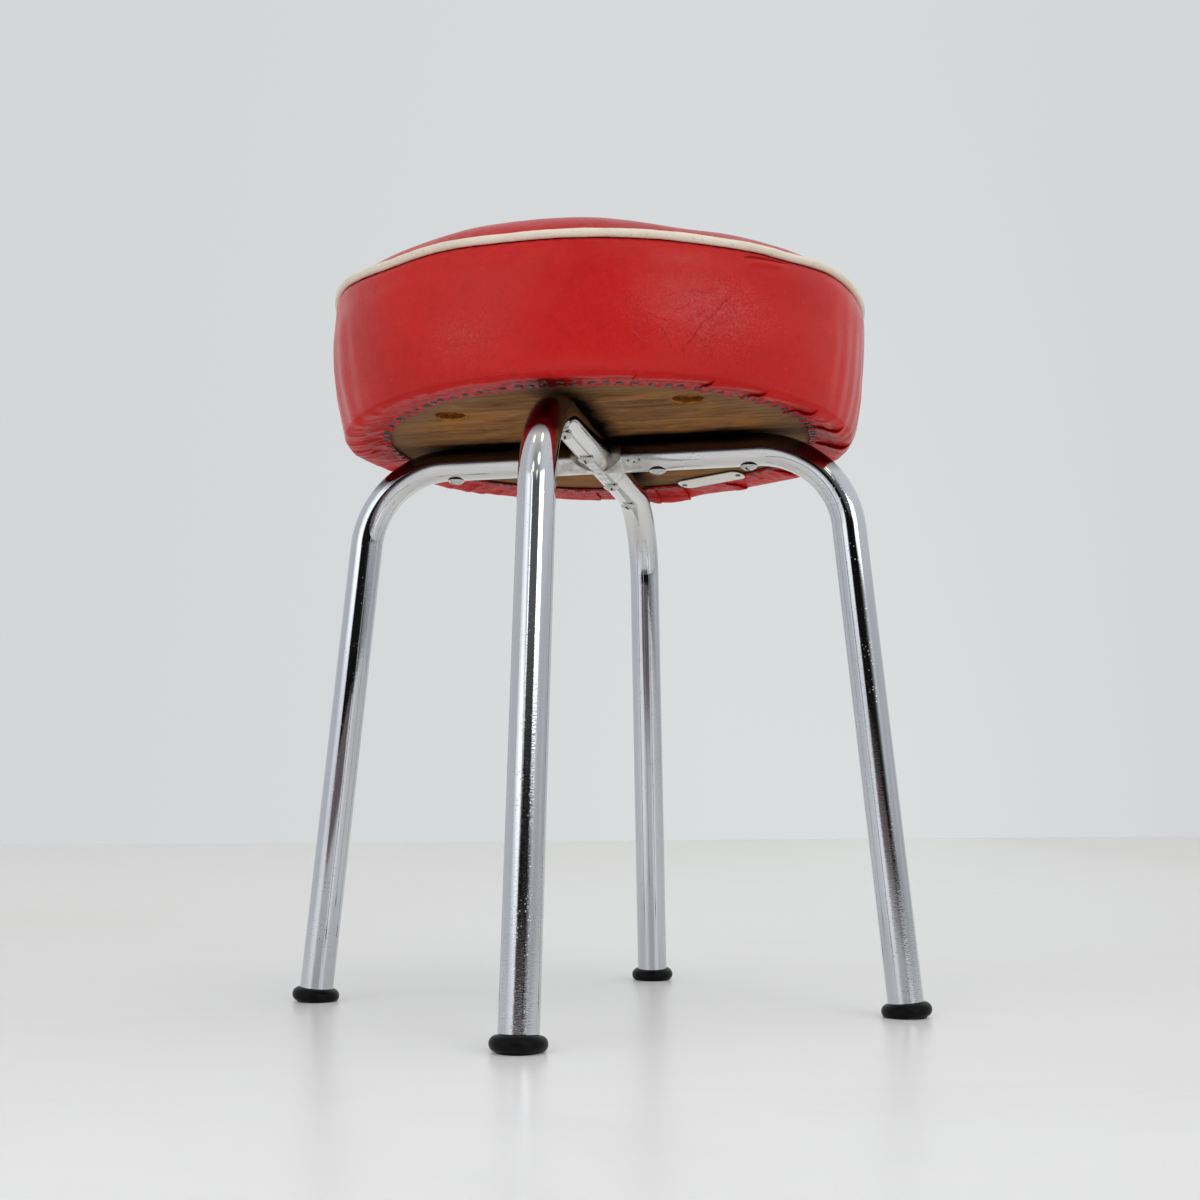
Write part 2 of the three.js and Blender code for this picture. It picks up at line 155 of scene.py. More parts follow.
# Steps of the band's mesh round the seat, in degrees: in a fold, where it was handled, and elsewhere
fold_step = 0.06
handled_step = 0.16
column_step = 0.42


def smooth(value, start, end):
    """0 before start, 1 after end, and smooth between them."""
    t = np.clip((value - start) / (end - start), 0, 1)
    return t * t * (3 - 2 * t)


def hump(value, middle, width):
    """1 at the middle, and falling away smoothly to both sides."""
    return np.exp(-(((value - middle) / width) ** 2))


def wobble(points, length, seed):
    """A smooth uneven field of about -1 to 1 over an array of points, with swells about length across."""
    random = np.random.default_rng(seed)
    total = np.zeros(points.shape[:-1])
    waves = 7
    for _ in range(waves):
        direction = random.normal(size=3)
        direction /= np.linalg.norm(direction)
        wave_length = length * random.uniform(0.7, 1.6)
        phase = random.uniform(0, 2 * math.pi)
        total += np.sin(points @ direction * (2 * math.pi / wave_length) + phase)
    return total / math.sqrt(waves * 2)


def ring_angles(count, start=0.0):
    """Equal steps round a circle."""
    return start + np.arange(count) * (2 * math.pi / count)


def around(radius, theta, height):
    """Points at a radius, an angle round the stool's axis and a height, each a number or an array."""
    radius, theta, height = np.broadcast_arrays(radius, theta, height)
    return np.stack([radius * np.cos(theta), radius * np.sin(theta), height], axis=-1)


def mesh_piece(name, points, faces, material, sharp_angle=None):
    """A mesh object from an array of points and lists of corners."""
    mesh = bpy.data.meshes.new(name)
    mesh.from_pydata(np.asarray(points).tolist(), [], faces)
    mesh.validate()
    mesh.shade_smooth()
    if sharp_angle:
        mesh.set_sharp_from_angle(angle=math.radians(sharp_angle))
    mesh.materials.append(material)
    piece = bpy.data.objects.new(name, mesh)
    bpy.context.scene.collection.objects.link(piece)
    return piece


def grid_faces(rows, columns, closed_rows):
    """Quads of a grid whose columns close on themselves. Its outside is left of each row's way round."""
    row_starts = np.arange(rows if closed_rows else rows - 1)
    first, place = np.meshgrid(row_starts, np.arange(columns), indexing="ij")
    second = (first + 1) % rows
    beside = (place + 1) % columns
    edges = [(first, place), (first, beside), (second, beside), (second, place)]
    return np.stack([row * columns + column for row, column in edges], axis=-1).reshape(-1, 4).tolist()


def cap_faces(rows, columns, first_pole, last_pole):
    """Fans that close both ends of an open grid, each round a pole."""
    faces = []
    last_row = (rows - 1) * columns
    for place in range(columns):
        beside = (place + 1) % columns
        faces.append((first_pole, beside, place))
        faces.append((last_pole, last_row + place, last_row + beside))
    return faces


def closed_grid(name, grid, material, closed_rows=False, sharp_angle=None):
    """A closed mesh from rows of points round an axis. Open rows are capped at both ends by a fan."""
    rows, columns = grid.shape[:2]
    points = grid.reshape(-1, 3)
    faces = grid_faces(rows, columns, closed_rows)
    if not closed_rows:
        points = np.vstack([points, grid[0].mean(axis=0), grid[-1].mean(axis=0)])
        faces += cap_faces(rows, columns, rows * columns, rows * columns + 1)
    return mesh_piece(name, points, faces, material, sharp_angle)


def facing_out(piece):
    """Turns the faces of a closed mesh so that they all point out."""
    edit = bmesh.new()
    edit.from_mesh(piece.data)
    bmesh.ops.recalc_face_normals(edit, faces=edit.faces)
    edit.to_mesh(piece.data)
    edit.free()
    return piece


def vertex_values(piece, name, values):
    attribute = piece.data.attributes.new(name, "FLOAT", "POINT")
    values = np.broadcast_to(values, len(piece.data.vertices))
    attribute.data.foreach_set("value", values.astype(np.float32))


def stands_for(piece, slot, *nodes):
    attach(piece, "root")
    if nodes:
        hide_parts(*nodes)
    return piece


class Graph:
    """A node tree of a material or the world, written as calls that give sockets."""

    def __init__(self, name, world=None):
        self.material = world or bpy.data.materials.new(name)
        self.material.use_nodes = True
        self.nodes = self.material.node_tree.nodes
        self.links = self.material.node_tree.links
        self.surface = self.nodes["Background" if world else "Principled BSDF"]
        self.output = self.nodes["World Output" if world else "Material Output"]

    def put(self, socket, value):
        if isinstance(value, bpy.types.NodeSocket):
            self.links.new(value, socket)
        elif isinstance(value, tuple) and len(value) == 3 and socket.type == "RGBA":
            socket.default_value = (*value, 1)
        else:
            socket.default_value = value

    def add(self, kind, inputs=None, **settings):
        node = self.nodes.new("ShaderNode" + kind)
        for name, value in settings.items():
            setattr(node, name, value)
        for name, value in (inputs or {}).items():
            self.put(node.inputs[name], value)
        return node

    def place(self):
        return self.add("TexCoord").outputs["Object"]

    def attribute(self, name, output="Fac"):
        return self.add("Attribute", attribute_name=name).outputs[output]

    def facing(self):
        return self.add("NewGeometry").outputs["Normal"]

    def parts(self, vector):
        return self.add("SeparateXYZ", {"Vector": vector}).outputs

    def distance(self, vector, spot):
        return self.add("VectorMath", {0: vector, 1: spot}, operation="DISTANCE").outputs["Value"]

    def stretched(self, vector, scale, turn=(0, 0, 0)):
        inputs = {"Vector": vector, "Scale": scale, "Rotation": turn}
        return self.add("Mapping", inputs).outputs["Vector"]

    def noise(self, vector, scale, detail=3.0, roughness=0.5, distortion=0.0):
        inputs = {"Vector": vector, "Scale": scale, "Detail": detail}
        inputs |= {"Roughness": roughness, "Distortion": distortion}
        return self.add("TexNoise", inputs).outputs["Fac"]

    def cells(self, vector, scale, feature="F1", randomness=1.0):
        inputs = {"Vector": vector, "Scale": scale, "Randomness": randomness}
        return self.add("TexVoronoi", inputs, feature=feature).outputs["Distance"]

    def span(self, value, low, high, to_low=0.0, to_high=1.0):
        inputs = {"Value": value, "From Min": low, "From Max": high, "To Min": to_low, "To Max": to_high}
        return self.add("MapRange", inputs, clamp=True).outputs["Result"]

    def math(self, operation, first, second=0.0):
        node = self.add("Math", operation=operation)
        self.put(node.inputs[0], first)
        self.put(node.inputs[1], second)
        return node.outputs[0]

    def times(self, first, second):
        return self.math("MULTIPLY", first, second)

    def plus(self, first, second):
        return self.math("ADD", first, second)

    def mix(self, share, first, second, blend="MIX"):
        node = self.add("Mix", data_type="RGBA", blend_type=blend)
        self.put(node.inputs["Factor"], share)
        self.put(node.inputs["A"], first)
        self.put(node.inputs["B"], second)
        return node.outputs["Result"]

    def layers(self, colour, *coats):
        """A colour under coats, each of a share and a colour of its own."""
        for share, coat in coats:
            colour = self.mix(share, colour, coat)
        return colour

    def bump(self, height, distance, strength=1.0, under=None):
        inputs = {"Height": height, "Distance": distance, "Strength": strength}
        if under is not None:
            inputs["Normal"] = under
        return self.add("Bump", inputs).outputs["Normal"]

    def finish(self, **inputs):
        for name, value in inputs.items():
            self.put(self.surface.inputs[name.replace("_", " ")], value)
        return self.material


def linear(red, green, blue):
    """A colour given as it looks on a screen, 0 to 255, as linear light."""
    shares = [channel / 255 for channel in (red, green, blue)]
    return tuple(s / 12.92 if s <= 0.04045 else ((s + 0.055) / 1.055) ** 2.4 for s in shares)


# Materials

def vinyl_material(name, specular):
    """Upholstery vinyl with a fine grain and a little soil, creased where it was handled. Pale flecks and
    lines there are painted highlights, and painted shade darkens the creases and the places that a vertex
    attribute marks.
    """
    graph = Graph(name)
    place = graph.place()
    tone = graph.span(graph.noise(place, 14, 3), 0.35, 0.65)
    soil = graph.span(graph.noise(place, 160, 4, 0.6), 0.52, 0.8, 0, 0.3)
    worn = graph.attribute("worn")
    crackle = graph.noise(place, 620, 2, 0.6, 0.8)
    folded = graph.noise(graph.stretched(place, (1, 1, 1.3), (0.3, 0.9, 0.4)), 260, 3, 0.55, 1.6)
    web = graph.math("ABSOLUTE", graph.math("SUBTRACT", folded, 0.5))
    crease = graph.attribute("crease")
    colour = graph.layers(
        graph.mix(tone, linear(212, 36, 34), linear(197, 30, 28)),
        (soil, linear(150, 14, 14)),
        # Painted highlights: pale flecks and lines where the band was handled
        (graph.times(worn, graph.span(crackle, 0.42, 0.66, 0.06, 0.26)), linear(220, 98, 102)),
        (graph.times(worn, graph.span(web, 0.01, 0.04, 0.3, 0)), linear(232, 128, 132)),
        # Painted shade: darker in the creases
        (graph.span(crease, 0.3, 1.0, 0.18, 0), linear(120, 14, 18)),
        # Painted shade where the vertex attribute says
        (graph.attribute("painted_shade"), linear(46, 12, 14)),
    )
    grain = graph.bump(graph.cells(place, 1150), 0.03 * mm, 0.6)
    facets = graph.bump(crackle, 0.14 * mm, worn, grain)
    network = graph.bump(graph.span(web, 0.0, 0.07), 0.17 * mm, worn, facets)
    lines = graph.bump(crease, 0.6 * mm, 1.0, network)
    shine = graph.span(graph.noise(place, 60, 4), 0.3, 0.7, 0.22, 0.29)
    shine = graph.math("SUBTRACT", shine, graph.times(worn, 0.05))
    return graph.finish(Base_Color=colour, Roughness=shine, Normal=lines, Specular_IOR_Level=specular)


def piping_material():
    graph = Graph("cream_vinyl_cord")
    place = graph.place()
    soil = graph.span(graph.noise(place, 38, 5, 0.65), 0.45, 0.75, 0, 0.5)
    specks = graph.span(graph.noise(place, 420, 3), 0.62, 0.75, 0, 0.4)
    colour = graph.mix(soil, linear(248, 238, 222), linear(220, 205, 184))
    colour = graph.mix(specks, colour, linear(156, 136, 112))
    grain = graph.bump(graph.cells(place, 1200), 0.08 * mm, 0.7)
    puckers = graph.bump(graph.noise(place, 180, 2), 0.25 * mm, 0.6, grain)
    return graph.finish(Base_Color=colour, Roughness=0.5, Normal=puckers)


def wood_material():
    """Brown plywood with streaks along X, a dusty rim, painted shade along the tubes, and plies in the
    vents' walls.
    """
    graph = Graph("plywood_face")
    place = graph.place()
    slant = (0, 0, 0.03)
    streaks = graph.noise(graph.stretched(place, (17, 120, 60), slant), 1, 7, 0.7, 1.2)
    pores = graph.noise(graph.stretched(place, (45, 700, 300), slant), 1, 3, 0.7)
    blotches = graph.noise(graph.stretched(place, (13, 24, 12)), 1, 4, 0.6)
    parts = graph.parts(place)
    from_x = graph.math("ABSOLUTE", parts["Y"])
    from_y = graph.math("ABSOLUTE", parts["X"])
    uneven = graph.times(graph.noise(place, 40, 3), 16 * mm)
    tube_distance = graph.plus(graph.math("MINIMUM", from_x, from_y), uneven)
    radius = graph.distance(place, (0, 0, 0))
    reaches = [board_radius - 54 * mm, board_radius - 27 * mm, 98 * mm, 128 * mm]
    dust_start, dust_end, shade_end, shade_faint = [math.hypot(reach, board_underside) for reach in reaches]
    dusty = graph.span(radius, dust_start, dust_end, 0, 0.6)
    # Painted shade: near-black beside the tubes, fading toward the rim
    painted_tube_shade = graph.span(radius, shade_end, shade_faint, 1, 0.3)
    painted_tube_shade = graph.times(graph.span(tube_distance, 17 * mm, 29 * mm, 1, 0), painted_tube_shade)
    colour = graph.layers(
        graph.mix(graph.span(streaks, 0.36, 0.64), linear(108, 74, 44), linear(168, 120, 74)),
        (graph.span(blotches, 0.5, 0.68, 0, 0.6), linear(82, 55, 33)),
        (graph.span(blotches, 0.34, 0.44, 0.5, 0), linear(176, 116, 52)),
        (graph.span(pores, 0.56, 0.72, 0, 0.5), linear(58, 38, 22)),
        (dusty, linear(128, 104, 82)),
        (painted_tube_shade, linear(8, 4, 2)),
    )
    height = graph.span(parts["Z"], board_underside, board_top)
    plies = graph.math("PINGPONG", graph.times(height, 5), 1)
    face_up = graph.math("ABSOLUTE", graph.parts(graph.facing())["Z"])
    end_grain = graph.mix(graph.span(plies, 0.35, 0.65), linear(206, 138, 58), linear(140, 84, 34))
    chewed = graph.span(graph.noise(graph.stretched(place, (300, 300, 700)), 1, 3), 0.45, 0.62, 0, 0.6)
    end_grain = graph.mix(chewed, end_grain, linear(88, 46, 20))
    colour = graph.mix(graph.span(face_up, 0.5, 0.8), end_grain, colour)
    normal = graph.bump(graph.plus(streaks, graph.times(pores, 0.6)), 0.25 * mm, 0.7)
    return graph.finish(Base_Color=colour, Roughness=0.75, Normal=normal, Specular_IOR_Level=0.06)


def chrome_material():
    """Old bright plating: mostly clear, with pits, scratches and drawn streaks, brushed near the floor.
    Downward faces are made paler as a painted reflection of the floor, and upper faces under the seat darker
    as a painted dark reflection.
    """
    graph = Graph("plated_tube")
    run = graph.attribute("run", "Vector")
    pit_zone = graph.span(graph.noise(run, 26, 4, 0.7), 0.47, 0.68)
    pits = graph.times(graph.span(graph.cells(run, 520), 0.10, 0.24, 1, 0), pit_zone)
    drawn = graph.noise(graph.stretched(run, (9, 330, 330)), 1, 3)
    haze = graph.span(graph.noise(run, 34, 5, 0.65), 0.5, 0.75)
    scratches = graph.span(graph.noise(graph.stretched(run, (60, 1100, 1100)), 1, 2), 0.66, 0.72)
    place = graph.place()
    crossing = graph.distance(place, (0, 0, axis_height))
    film = graph.span(graph.noise(place, 70, 6, 0.7), 0.4, 0.62)
    film = graph.times(film, graph.span(crossing, 19 * mm, 58 * mm, 0.9, 0))
    along = graph.parts(run)["X"]
    brushed_zone = graph.span(graph.noise(graph.stretched(run, (6, 40, 40)), 1, 3, 0.6), 0.38, 0.6)
    brushed_zone = graph.times(brushed_zone, graph.span(along, 0.14, 0.27, 1, 0.12))
    shine = 0.035
    dulling = [(haze, 0.025), (pits, 0.35), (scratches, 0.05), (film, 0.3), (brushed_zone, 0.04)]
    for zone, weight in dulling:
        shine = graph.plus(shine, graph.times(zone, weight))
    parts = graph.parts(place)
    # Painted dark reflection: upper faces near the board darkened, as if mirroring the seat's shaded
    # underside
    height = graph.plus(parts["Z"], graph.span(parts["Y"], -0.12, -0.1, 10 * mm, 0))
    tilt = graph.parts(graph.facing())["Z"]
    painted_dark_reflection = graph.span(height, axis_height - 19 * mm, axis_height - 12 * mm, 0, 0.88)
    painted_dark_reflection = graph.times(graph.span(tilt, -0.32, -0.12), painted_dark_reflection)
    flaws = []
    for spot in flaw_places:
        flaw = graph.span(graph.distance(place, spot), 0.6 * mm, 1.1 * mm, 0.9, 0)
        flaws.append((flaw, (0.08, 0.06, 0.04)))
    colour = graph.layers(
        graph.mix(haze, (0.59, 0.607, 0.645), (0.565, 0.578, 0.605)),
        # Painted reflection: downward faces paler and warmer, as if mirroring the floor
        (graph.span(tilt, -0.7, -0.25, 0.85, 0), (0.78, 0.775, 0.75)),
        (pits, (0.30, 0.27, 0.23)),
        (film, (0.36, 0.33, 0.27)),
        *flaws,
        (painted_dark_reflection, (0.045, 0.02, 0.024)),
    )
    wave = graph.bump(drawn, 0.02 * mm, 0.2)
    broad = graph.bump(graph.noise(run, 55, 2), 0.03 * mm, 0.25, wave)
    brushed = graph.noise(graph.stretched(run, (1200, 380, 380)), 1, 3, 0.65)
    brushed = graph.bump(brushed, 0.06 * mm, brushed_zone, broad)
    normal = graph.bump(pits, 0.12 * mm, 0.5, brushed)
    return graph.finish(Base_Color=colour, Roughness=shine, Metallic=1.0, Normal=normal)


def weld_material():
    graph = Graph("plated_weld")
    place = graph.place()
    grime = graph.span(graph.noise(place, 130, 5, 0.7), 0.42, 0.65)
    colour = graph.mix(graph.times(grime, 0.8), (0.25, 0.24, 0.22), (0.06, 0.045, 0.03))
    holes = graph.span(graph.cells(place, 260), 0.06, 0.16)
    normal = graph.bump(graph.noise(place, 200, 3), 0.18 * mm, 0.5)
    normal = graph.bump(holes, 0.3 * mm, 0.6, normal)
    shine = graph.span(grime, 0, 1, 0.3, 0.5)
    return graph.finish(Base_Color=colour, Roughness=shine, Metallic=1.0, Normal=normal)


def screw_material():
    graph = Graph("nickel_screw")
    place = graph.place()
    tarnish = graph.span(graph.noise(place, 200, 4, 0.7), 0.52, 0.74)
    colour = graph.mix(tarnish, (0.60, 0.60, 0.58), (0.36, 0.33, 0.29))
    normal = graph.bump(graph.noise(graph.stretched(place, (900, 900, 200)), 1, 2), 0.03 * mm, 0.4)
    shine = graph.span(tarnish, 0, 1, 0.1, 0.26)
    return graph.finish(Base_Color=colour, Roughness=shine, Metallic=1.0, Normal=normal)


def plate_material():
    """Bare satin metal, brushed along its length, with duller brownish patches."""
    graph = Graph("bare_satin_plate")
    place = graph.place()
    brushed = graph.noise(graph.stretched(place, (60, 900, 300), (0, 0, -0.49)), 1, 4)
    dull = graph.span(graph.noise(place, 90, 3), 0.45, 0.75, 0, 0.6)
    colour = graph.mix(dull, (0.80, 0.78, 0.74), (0.62, 0.58, 0.52))
    normal = graph.bump(brushed, 0.03 * mm, 0.5)
    return graph.finish(Base_Color=colour, Roughness=0.36, Metallic=0.75, Normal=normal)


def tack_material():
    graph = Graph("blued_tack")
    place = graph.place()
    worn = graph.span(graph.noise(place, 300, 4, 0.7), 0.45, 0.7)
    colour = graph.mix(worn, (0.06, 0.05, 0.052), (0.19, 0.165, 0.155))
    normal = graph.bump(graph.noise(place, 700, 3), 0.08 * mm, 0.6)
    return graph.finish(Base_Color=colour, Roughness=0.42, Metallic=0.9, Normal=normal)


def slot_colour_material():
    """A near-black colour for the faces inside the screws' slots."""
    graph = Graph("slot_near_black")
    colour = graph.mix(graph.noise(graph.place(), 900, 2), (0.012, 0.01, 0.008), (0.03, 0.025, 0.02))
    return graph.finish(Base_Color=colour, Roughness=0.9)


def rubber_material():
    graph = Graph("black_rubber")
    place = graph.place()
    dust = graph.span(graph.noise(place, 130, 5, 0.7), 0.56, 0.8, 0, 0.35)
    colour = graph.mix(dust, (0.002, 0.002, 0.003), (0.02, 0.02, 0.022))
    normal = graph.bump(graph.noise(place, 900, 4), 0.08 * mm, 0.5)
    shine = graph.span(graph.noise(place, 90, 3), 0.3, 0.7, 0.3, 0.42)
    return graph.finish(Base_Color=colour, Roughness=shine, Normal=normal, Specular_IOR_Level=0.12)


def fibre_material():
    graph = Graph("coconut_fibre")
    place = graph.place()
    strands = graph.noise(graph.stretched(place, (260, 900, 500), (0.4, 0.3, 0.9)), 1, 5, 0.7, 1.2)
    crossed = graph.noise(graph.stretched(place, (900, 280, 500), (0.2, 0.5, 0.3)), 1, 5, 0.7, 1.2)
    tangle = graph.math("MAXIMUM", strands, crossed)
    colour = graph.mix(graph.span(tangle, 0.45, 0.7), linear(112, 62, 22), linear(206, 140, 58))
    normal = graph.bump(tangle, 1.2 * mm, 0.9)
    return graph.finish(Base_Color=colour, Roughness=0.9, Normal=normal)


def felt_material():
    graph = Graph("cotton_felt")
    place = graph.place()
    fluff = graph.noise(place, 420, 6, 0.7, 0.8)
    colour = graph.mix(graph.span(fluff, 0.4, 0.65), linear(188, 180, 160), linear(226, 220, 204))
    normal = graph.bump(fluff, 0.8 * mm, 0.8)
    return graph.finish(Base_Color=colour, Roughness=0.95, Normal=normal)


red_vinyl = vinyl_material("red_vinyl_band", 0.17)
matt_vinyl = vinyl_material("red_vinyl_matt", 0.05)
cream_vinyl = piping_material()
wood = wood_material()
chrome = chrome_material()
weld_metal = weld_material()
screw_metal = screw_material()
plate_metal = plate_material()
tack_metal = tack_material()
grime = slot_colour_material()
rubber = rubber_material()
fibre = fibre_material()
felt = felt_material()


# Bent tubes

def leg_route(straight_steps=40, bend_steps=40):
    """A leg in its own plane, from the tube's lower end up and round the bend: points and directions."""
    up = Vector((-math.sin(leg_lean), 0, math.cos(leg_lean)))
    bottom = Vector((footprint_radius, 0, 0)) + up * (sole_height + touch_gap)
    centre = Vector((bend_end_radius, 0, axis_height - bend_radius))
    bend_start = centre + Vector((math.cos(leg_lean), 0, math.sin(leg_lean))) * bend_radius
    stations = []
    for step in range(straight_steps):
        stations.append((bottom.lerp(bend_start, step / straight_steps), up, 0.0))
    for step in range(bend_steps + 1):
        share = step / bend_steps
        angle = leg_lean + bend_turn * share
        outward = Vector((math.cos(angle), 0, math.sin(angle)))
        flattening = bend_flattening * math.sin(math.pi * share) ** 0.5
        stations.append((centre + outward * bend_radius, Vector((-outward.z, 0, outward.x)), flattening))
    return stations


def level_route(start, end, steps=24):
    """The level run between two distances from the stool's axis, both ends included but the first."""
    stations = []
    for step in range(1, steps + 1):
        x = start + (end - start) * step / steps
        stations.append((Vector((x, 0, axis_height)), Vector((-1, 0, 0)), 0.0))
    return stations


def mirrored(stations):
    """The same leg on the other side of the stool's axis, followed from the bend down."""
    turned = [(Vector((-p.x, 0, p.z)), Vector((t.x, 0, -t.z)), f) for p, t, f in stations]
    return turned[::-1]


def tube_rings(stations, radius, lengths):
    """Rings of points round a planar route, and the distance along and place across of each point."""
    angles = ring_angles(tube_sides)
    rings = []
    runs = []
    for (point, tangent, flattening), length in zip(stations, lengths):
        in_plane = Vector((-tangent.z, 0, tangent.x))
        narrow = radius * (1 - flattening)
        wide = radius * (1 + flattening * 0.5)
        offset_x = narrow * np.cos(angles)
        offset_y = wide * np.sin(angles)
        ring = np.array(point)[None] + offset_x[:, None] * np.array(in_plane)[None]
        ring[:, 1] += offset_y
        rings.append(ring)
        runs.append(np.stack([np.full(tube_sides, length), offset_x, offset_y], axis=1))
    return np.array(rings), np.array(runs)


def route_lengths(stations):
    lengths = [0.0]
    for before, after in zip(stations, stations[1:]):
        lengths.append(lengths[-1] + (after[0] - before[0]).length)
    return lengths


def tube_piece(name, stations, turn, saddle):
    """A hollow tube. With a saddle, its last ring is fitted to the side of the tube that it meets."""
    lengths = route_lengths(stations)
    outer, outer_run = tube_rings(stations, tube_radius, lengths)
    inner, inner_run = tube_rings(stations, tube_radius - tube_wall, lengths)
    if saddle:
        for rings in (outer, inner):
            height = rings[-1][:, 2] - axis_height
            reach = (tube_radius + touch_gap / 3) ** 2 - height**2
            rings[-1][:, 0] = np.sqrt(np.maximum(reach, (touch_gap * 2) ** 2))
    grid = np.concatenate([outer, inner[::-1]])
    run = np.concatenate([outer_run, inner_run[::-1]])
    piece = closed_grid(name, grid, chrome, closed_rows=True, sharp_angle=50)
    attribute = piece.data.attributes.new("run", "FLOAT_VECTOR", "POINT")
    attribute.data.foreach_set("vector", run.reshape(-1).astype(np.float32))
    piece.data.transform(Matrix.Rotation(turn, 4, "Z"))
    return facing_out(piece)


def make_tubes():
    leg = leg_route()
    across = level_route(bend_end_radius, -bend_end_radius, 60)[:-1]
    cross = tube_piece("cross_tube_bright", leg + across + mirrored(leg), 0, False)
    stands_for(cross, "chrome_tube", "cross_tube")
    for side, turn in (("front", -math.pi / 2), ("rear", math.pi / 2)):
        run_in = level_route(bend_end_radius, tube_radius * 1.3, 24)
        run_in.append((Vector((tube_radius, 0, axis_height)), Vector((-1, 0, 0)), 0.0))
        tube = tube_piece(f"{side}_leg_bright", leg + run_in, turn, True)
        stands_for(tube, "chrome_tube", f"{side}_leg_tube")


def make_welds():
    """A smooth run of weld in each corner of the crossing, made of level slices."""
    corners = {"rear_right": 0, "rear_left": 1, "front_left": 2, "front_right": 3}
    slices = 25
    arc_points = 9
    for corner, quarter in corners.items():
        rings = []
        for step in range(slices):
            rise = math.sin(math.radians(-88 + 176 * step / (slices - 1)))
            side = tube_radius * math.sqrt(1 - rise**2)
            reach = fillet_reach * (1 - rise**2) + 0.5 * mm
            inside = side - 0.8 * mm
            height = axis_height + tube_radius * rise
            ring = []
            for k in range(arc_points):
                angle = math.pi + (math.pi / 2) * k / (arc_points - 1)
                x = side + reach + reach * math.cos(angle)
                y = side + reach + reach * math.sin(angle)
                ring.append((x, y, height))
            ring.append((side + reach, inside, height))
            ring.append((inside, inside, height))
            ring.append((inside, side + reach, height))
            rings.append(ring)
        grid = np.array(rings)
        grid[:, :arc_points] += 0.12 * mm * wobble(grid[:, :arc_points], 6 * mm, quarter + 40)[..., None]
        piece = closed_grid(f"weld_{corner}_run", grid, weld_metal, sharp_angle=60)
        piece.data.transform(Matrix.Rotation(quarter * math.pi / 2, 4, "Z"))
        facing_out(piece)
        stands_for(piece, "weld_metal", f"weld_{corner}")


# Feet

def foot_profile():
    """Radius and height along the leg, from the middle of the sole up and in to the plug."""
    middle = 4.3 * mm
    low = -sole_thickness
    profile = [(0.001 * mm, low)]
    for share in (0.3, 0.6, 0.8, 0.92):
        profile.append(((sole_radius - 3 * mm) * share, low))
    for step in range(17):
        angle = math.radians(-78 + 168 * step / 16)
        reach = sole_radius - sole_bulge + sole_bulge * math.cos(angle)
        profile.append((reach, middle + sole_bulge * math.sin(angle)))
    profile.append((tube_radius - 0.2 * mm, sole_height - 0.15 * mm))
    profile.append((tube_radius - 0.6 * mm, sole_height + 0.1 * mm))
    plug = tube_radius - tube_wall - 0.3 * mm
    profile.append((plug, sole_height + 0.2 * mm))
    for rib in range(plug_ribs):
        base = sole_height + 2 * mm + rib * rib_spacing
        profile.append((plug - rib_depth, base))
        profile.append((plug - rib_depth, base + 2 * mm))
        profile.append((plug, base + 3.4 * mm))
        profile.append((plug, base + 4.4 * mm))
    profile.append((plug - 1.5 * mm, sole_height + plug_length))
    profile.append((0.001 * mm, sole_height + plug_length))
    return np.array(profile)


def make_feet():
    profile = foot_profile()
    lean = np.array(Matrix.Rotation(-leg_lean, 3, "Y"))
    for side, turn in (("right", 0), ("rear", 1), ("left", 2), ("front", 3)):
        grid = around(profile[:, :1], ring_angles(96), profile[:, 1:]) @ lean.T
        below = np.minimum(grid[..., 2], 0)
        grid[..., 0] += below * math.tan(leg_lean)
        grid[..., 2] -= below
        grid[..., 0] += footprint_radius
        piece = closed_grid(f"{side}_foot_rubber", grid, rubber, sharp_angle=50)
        piece.data.transform(Matrix.Rotation(turn * math.pi / 2, 4, "Z"))
        facing_out(piece)
        stands_for(piece, "black_rubber", f"{side}_foot")


# Screws

def screw_mesh():
    """A slotted round head, a shank and a point. The head bears on the tube at height zero."""
    dome = (head_radius**2 + head_height**2) / (2 * head_height)
    profile = [(0.01 * mm, -head_height)]
    reach = math.asin(head_radius / dome)
    for step in range(1, 11):
        angle = reach * step / 10
        profile.append((dome * math.sin(angle), dome - head_height - dome * math.cos(angle)))
    profile.append((head_radius - 0.1 * mm, 0.25 * mm))
    profile.append((shank_radius, 0.3 * mm))
    profile.append((shank_radius, shank_length))
    profile.append((0.01 * mm, screw_length))
    profile = np.array(profile)
    grid = around(profile[:, :1], ring_angles(48), profile[:, 1:])
    body = facing_out(closed_grid("screw_body", grid, screw_metal, sharp_angle=35))
    cutter = bpy.data.meshes.new("slot_cutter")
    edit = bmesh.new()
    bmesh.ops.create_cube(edit, size=1)
    bmesh.ops.scale(edit, vec=(head_radius * 2.4, slot_width, slot_depth * 2), verts=edit.verts)
    bmesh.ops.translate(edit, vec=(0, 0, -head_height), verts=edit.verts)
    edit.to_mesh(cutter)
    edit.free()
    slot_object = bpy.data.objects.new("slot_cutter", cutter)
    bpy.context.scene.collection.objects.link(slot_object)
    cut = body.modifiers.new("slot", "BOOLEAN")
    cut.operation = "DIFFERENCE"
    cut.solver = "EXACT"
    cut.object = slot_object
    evaluated = body.evaluated_get(bpy.context.evaluated_depsgraph_get())
    mesh = bpy.data.meshes.new_from_object(evaluated)
    bpy.data.objects.remove(body)
    bpy.data.objects.remove(slot_object)
    mesh.shade_smooth()
    mesh.set_sharp_from_angle(angle=math.radians(35))
    mesh.materials.append(grime)
    for face in mesh.polygons:
        in_slot = abs(face.center.y) < slot_width / 2 + 0.01 * mm and face.center.z < -0.3 * mm
        face.material_index = 1 if in_slot and abs(face.normal.x) < 0.05 else 0
    return mesh


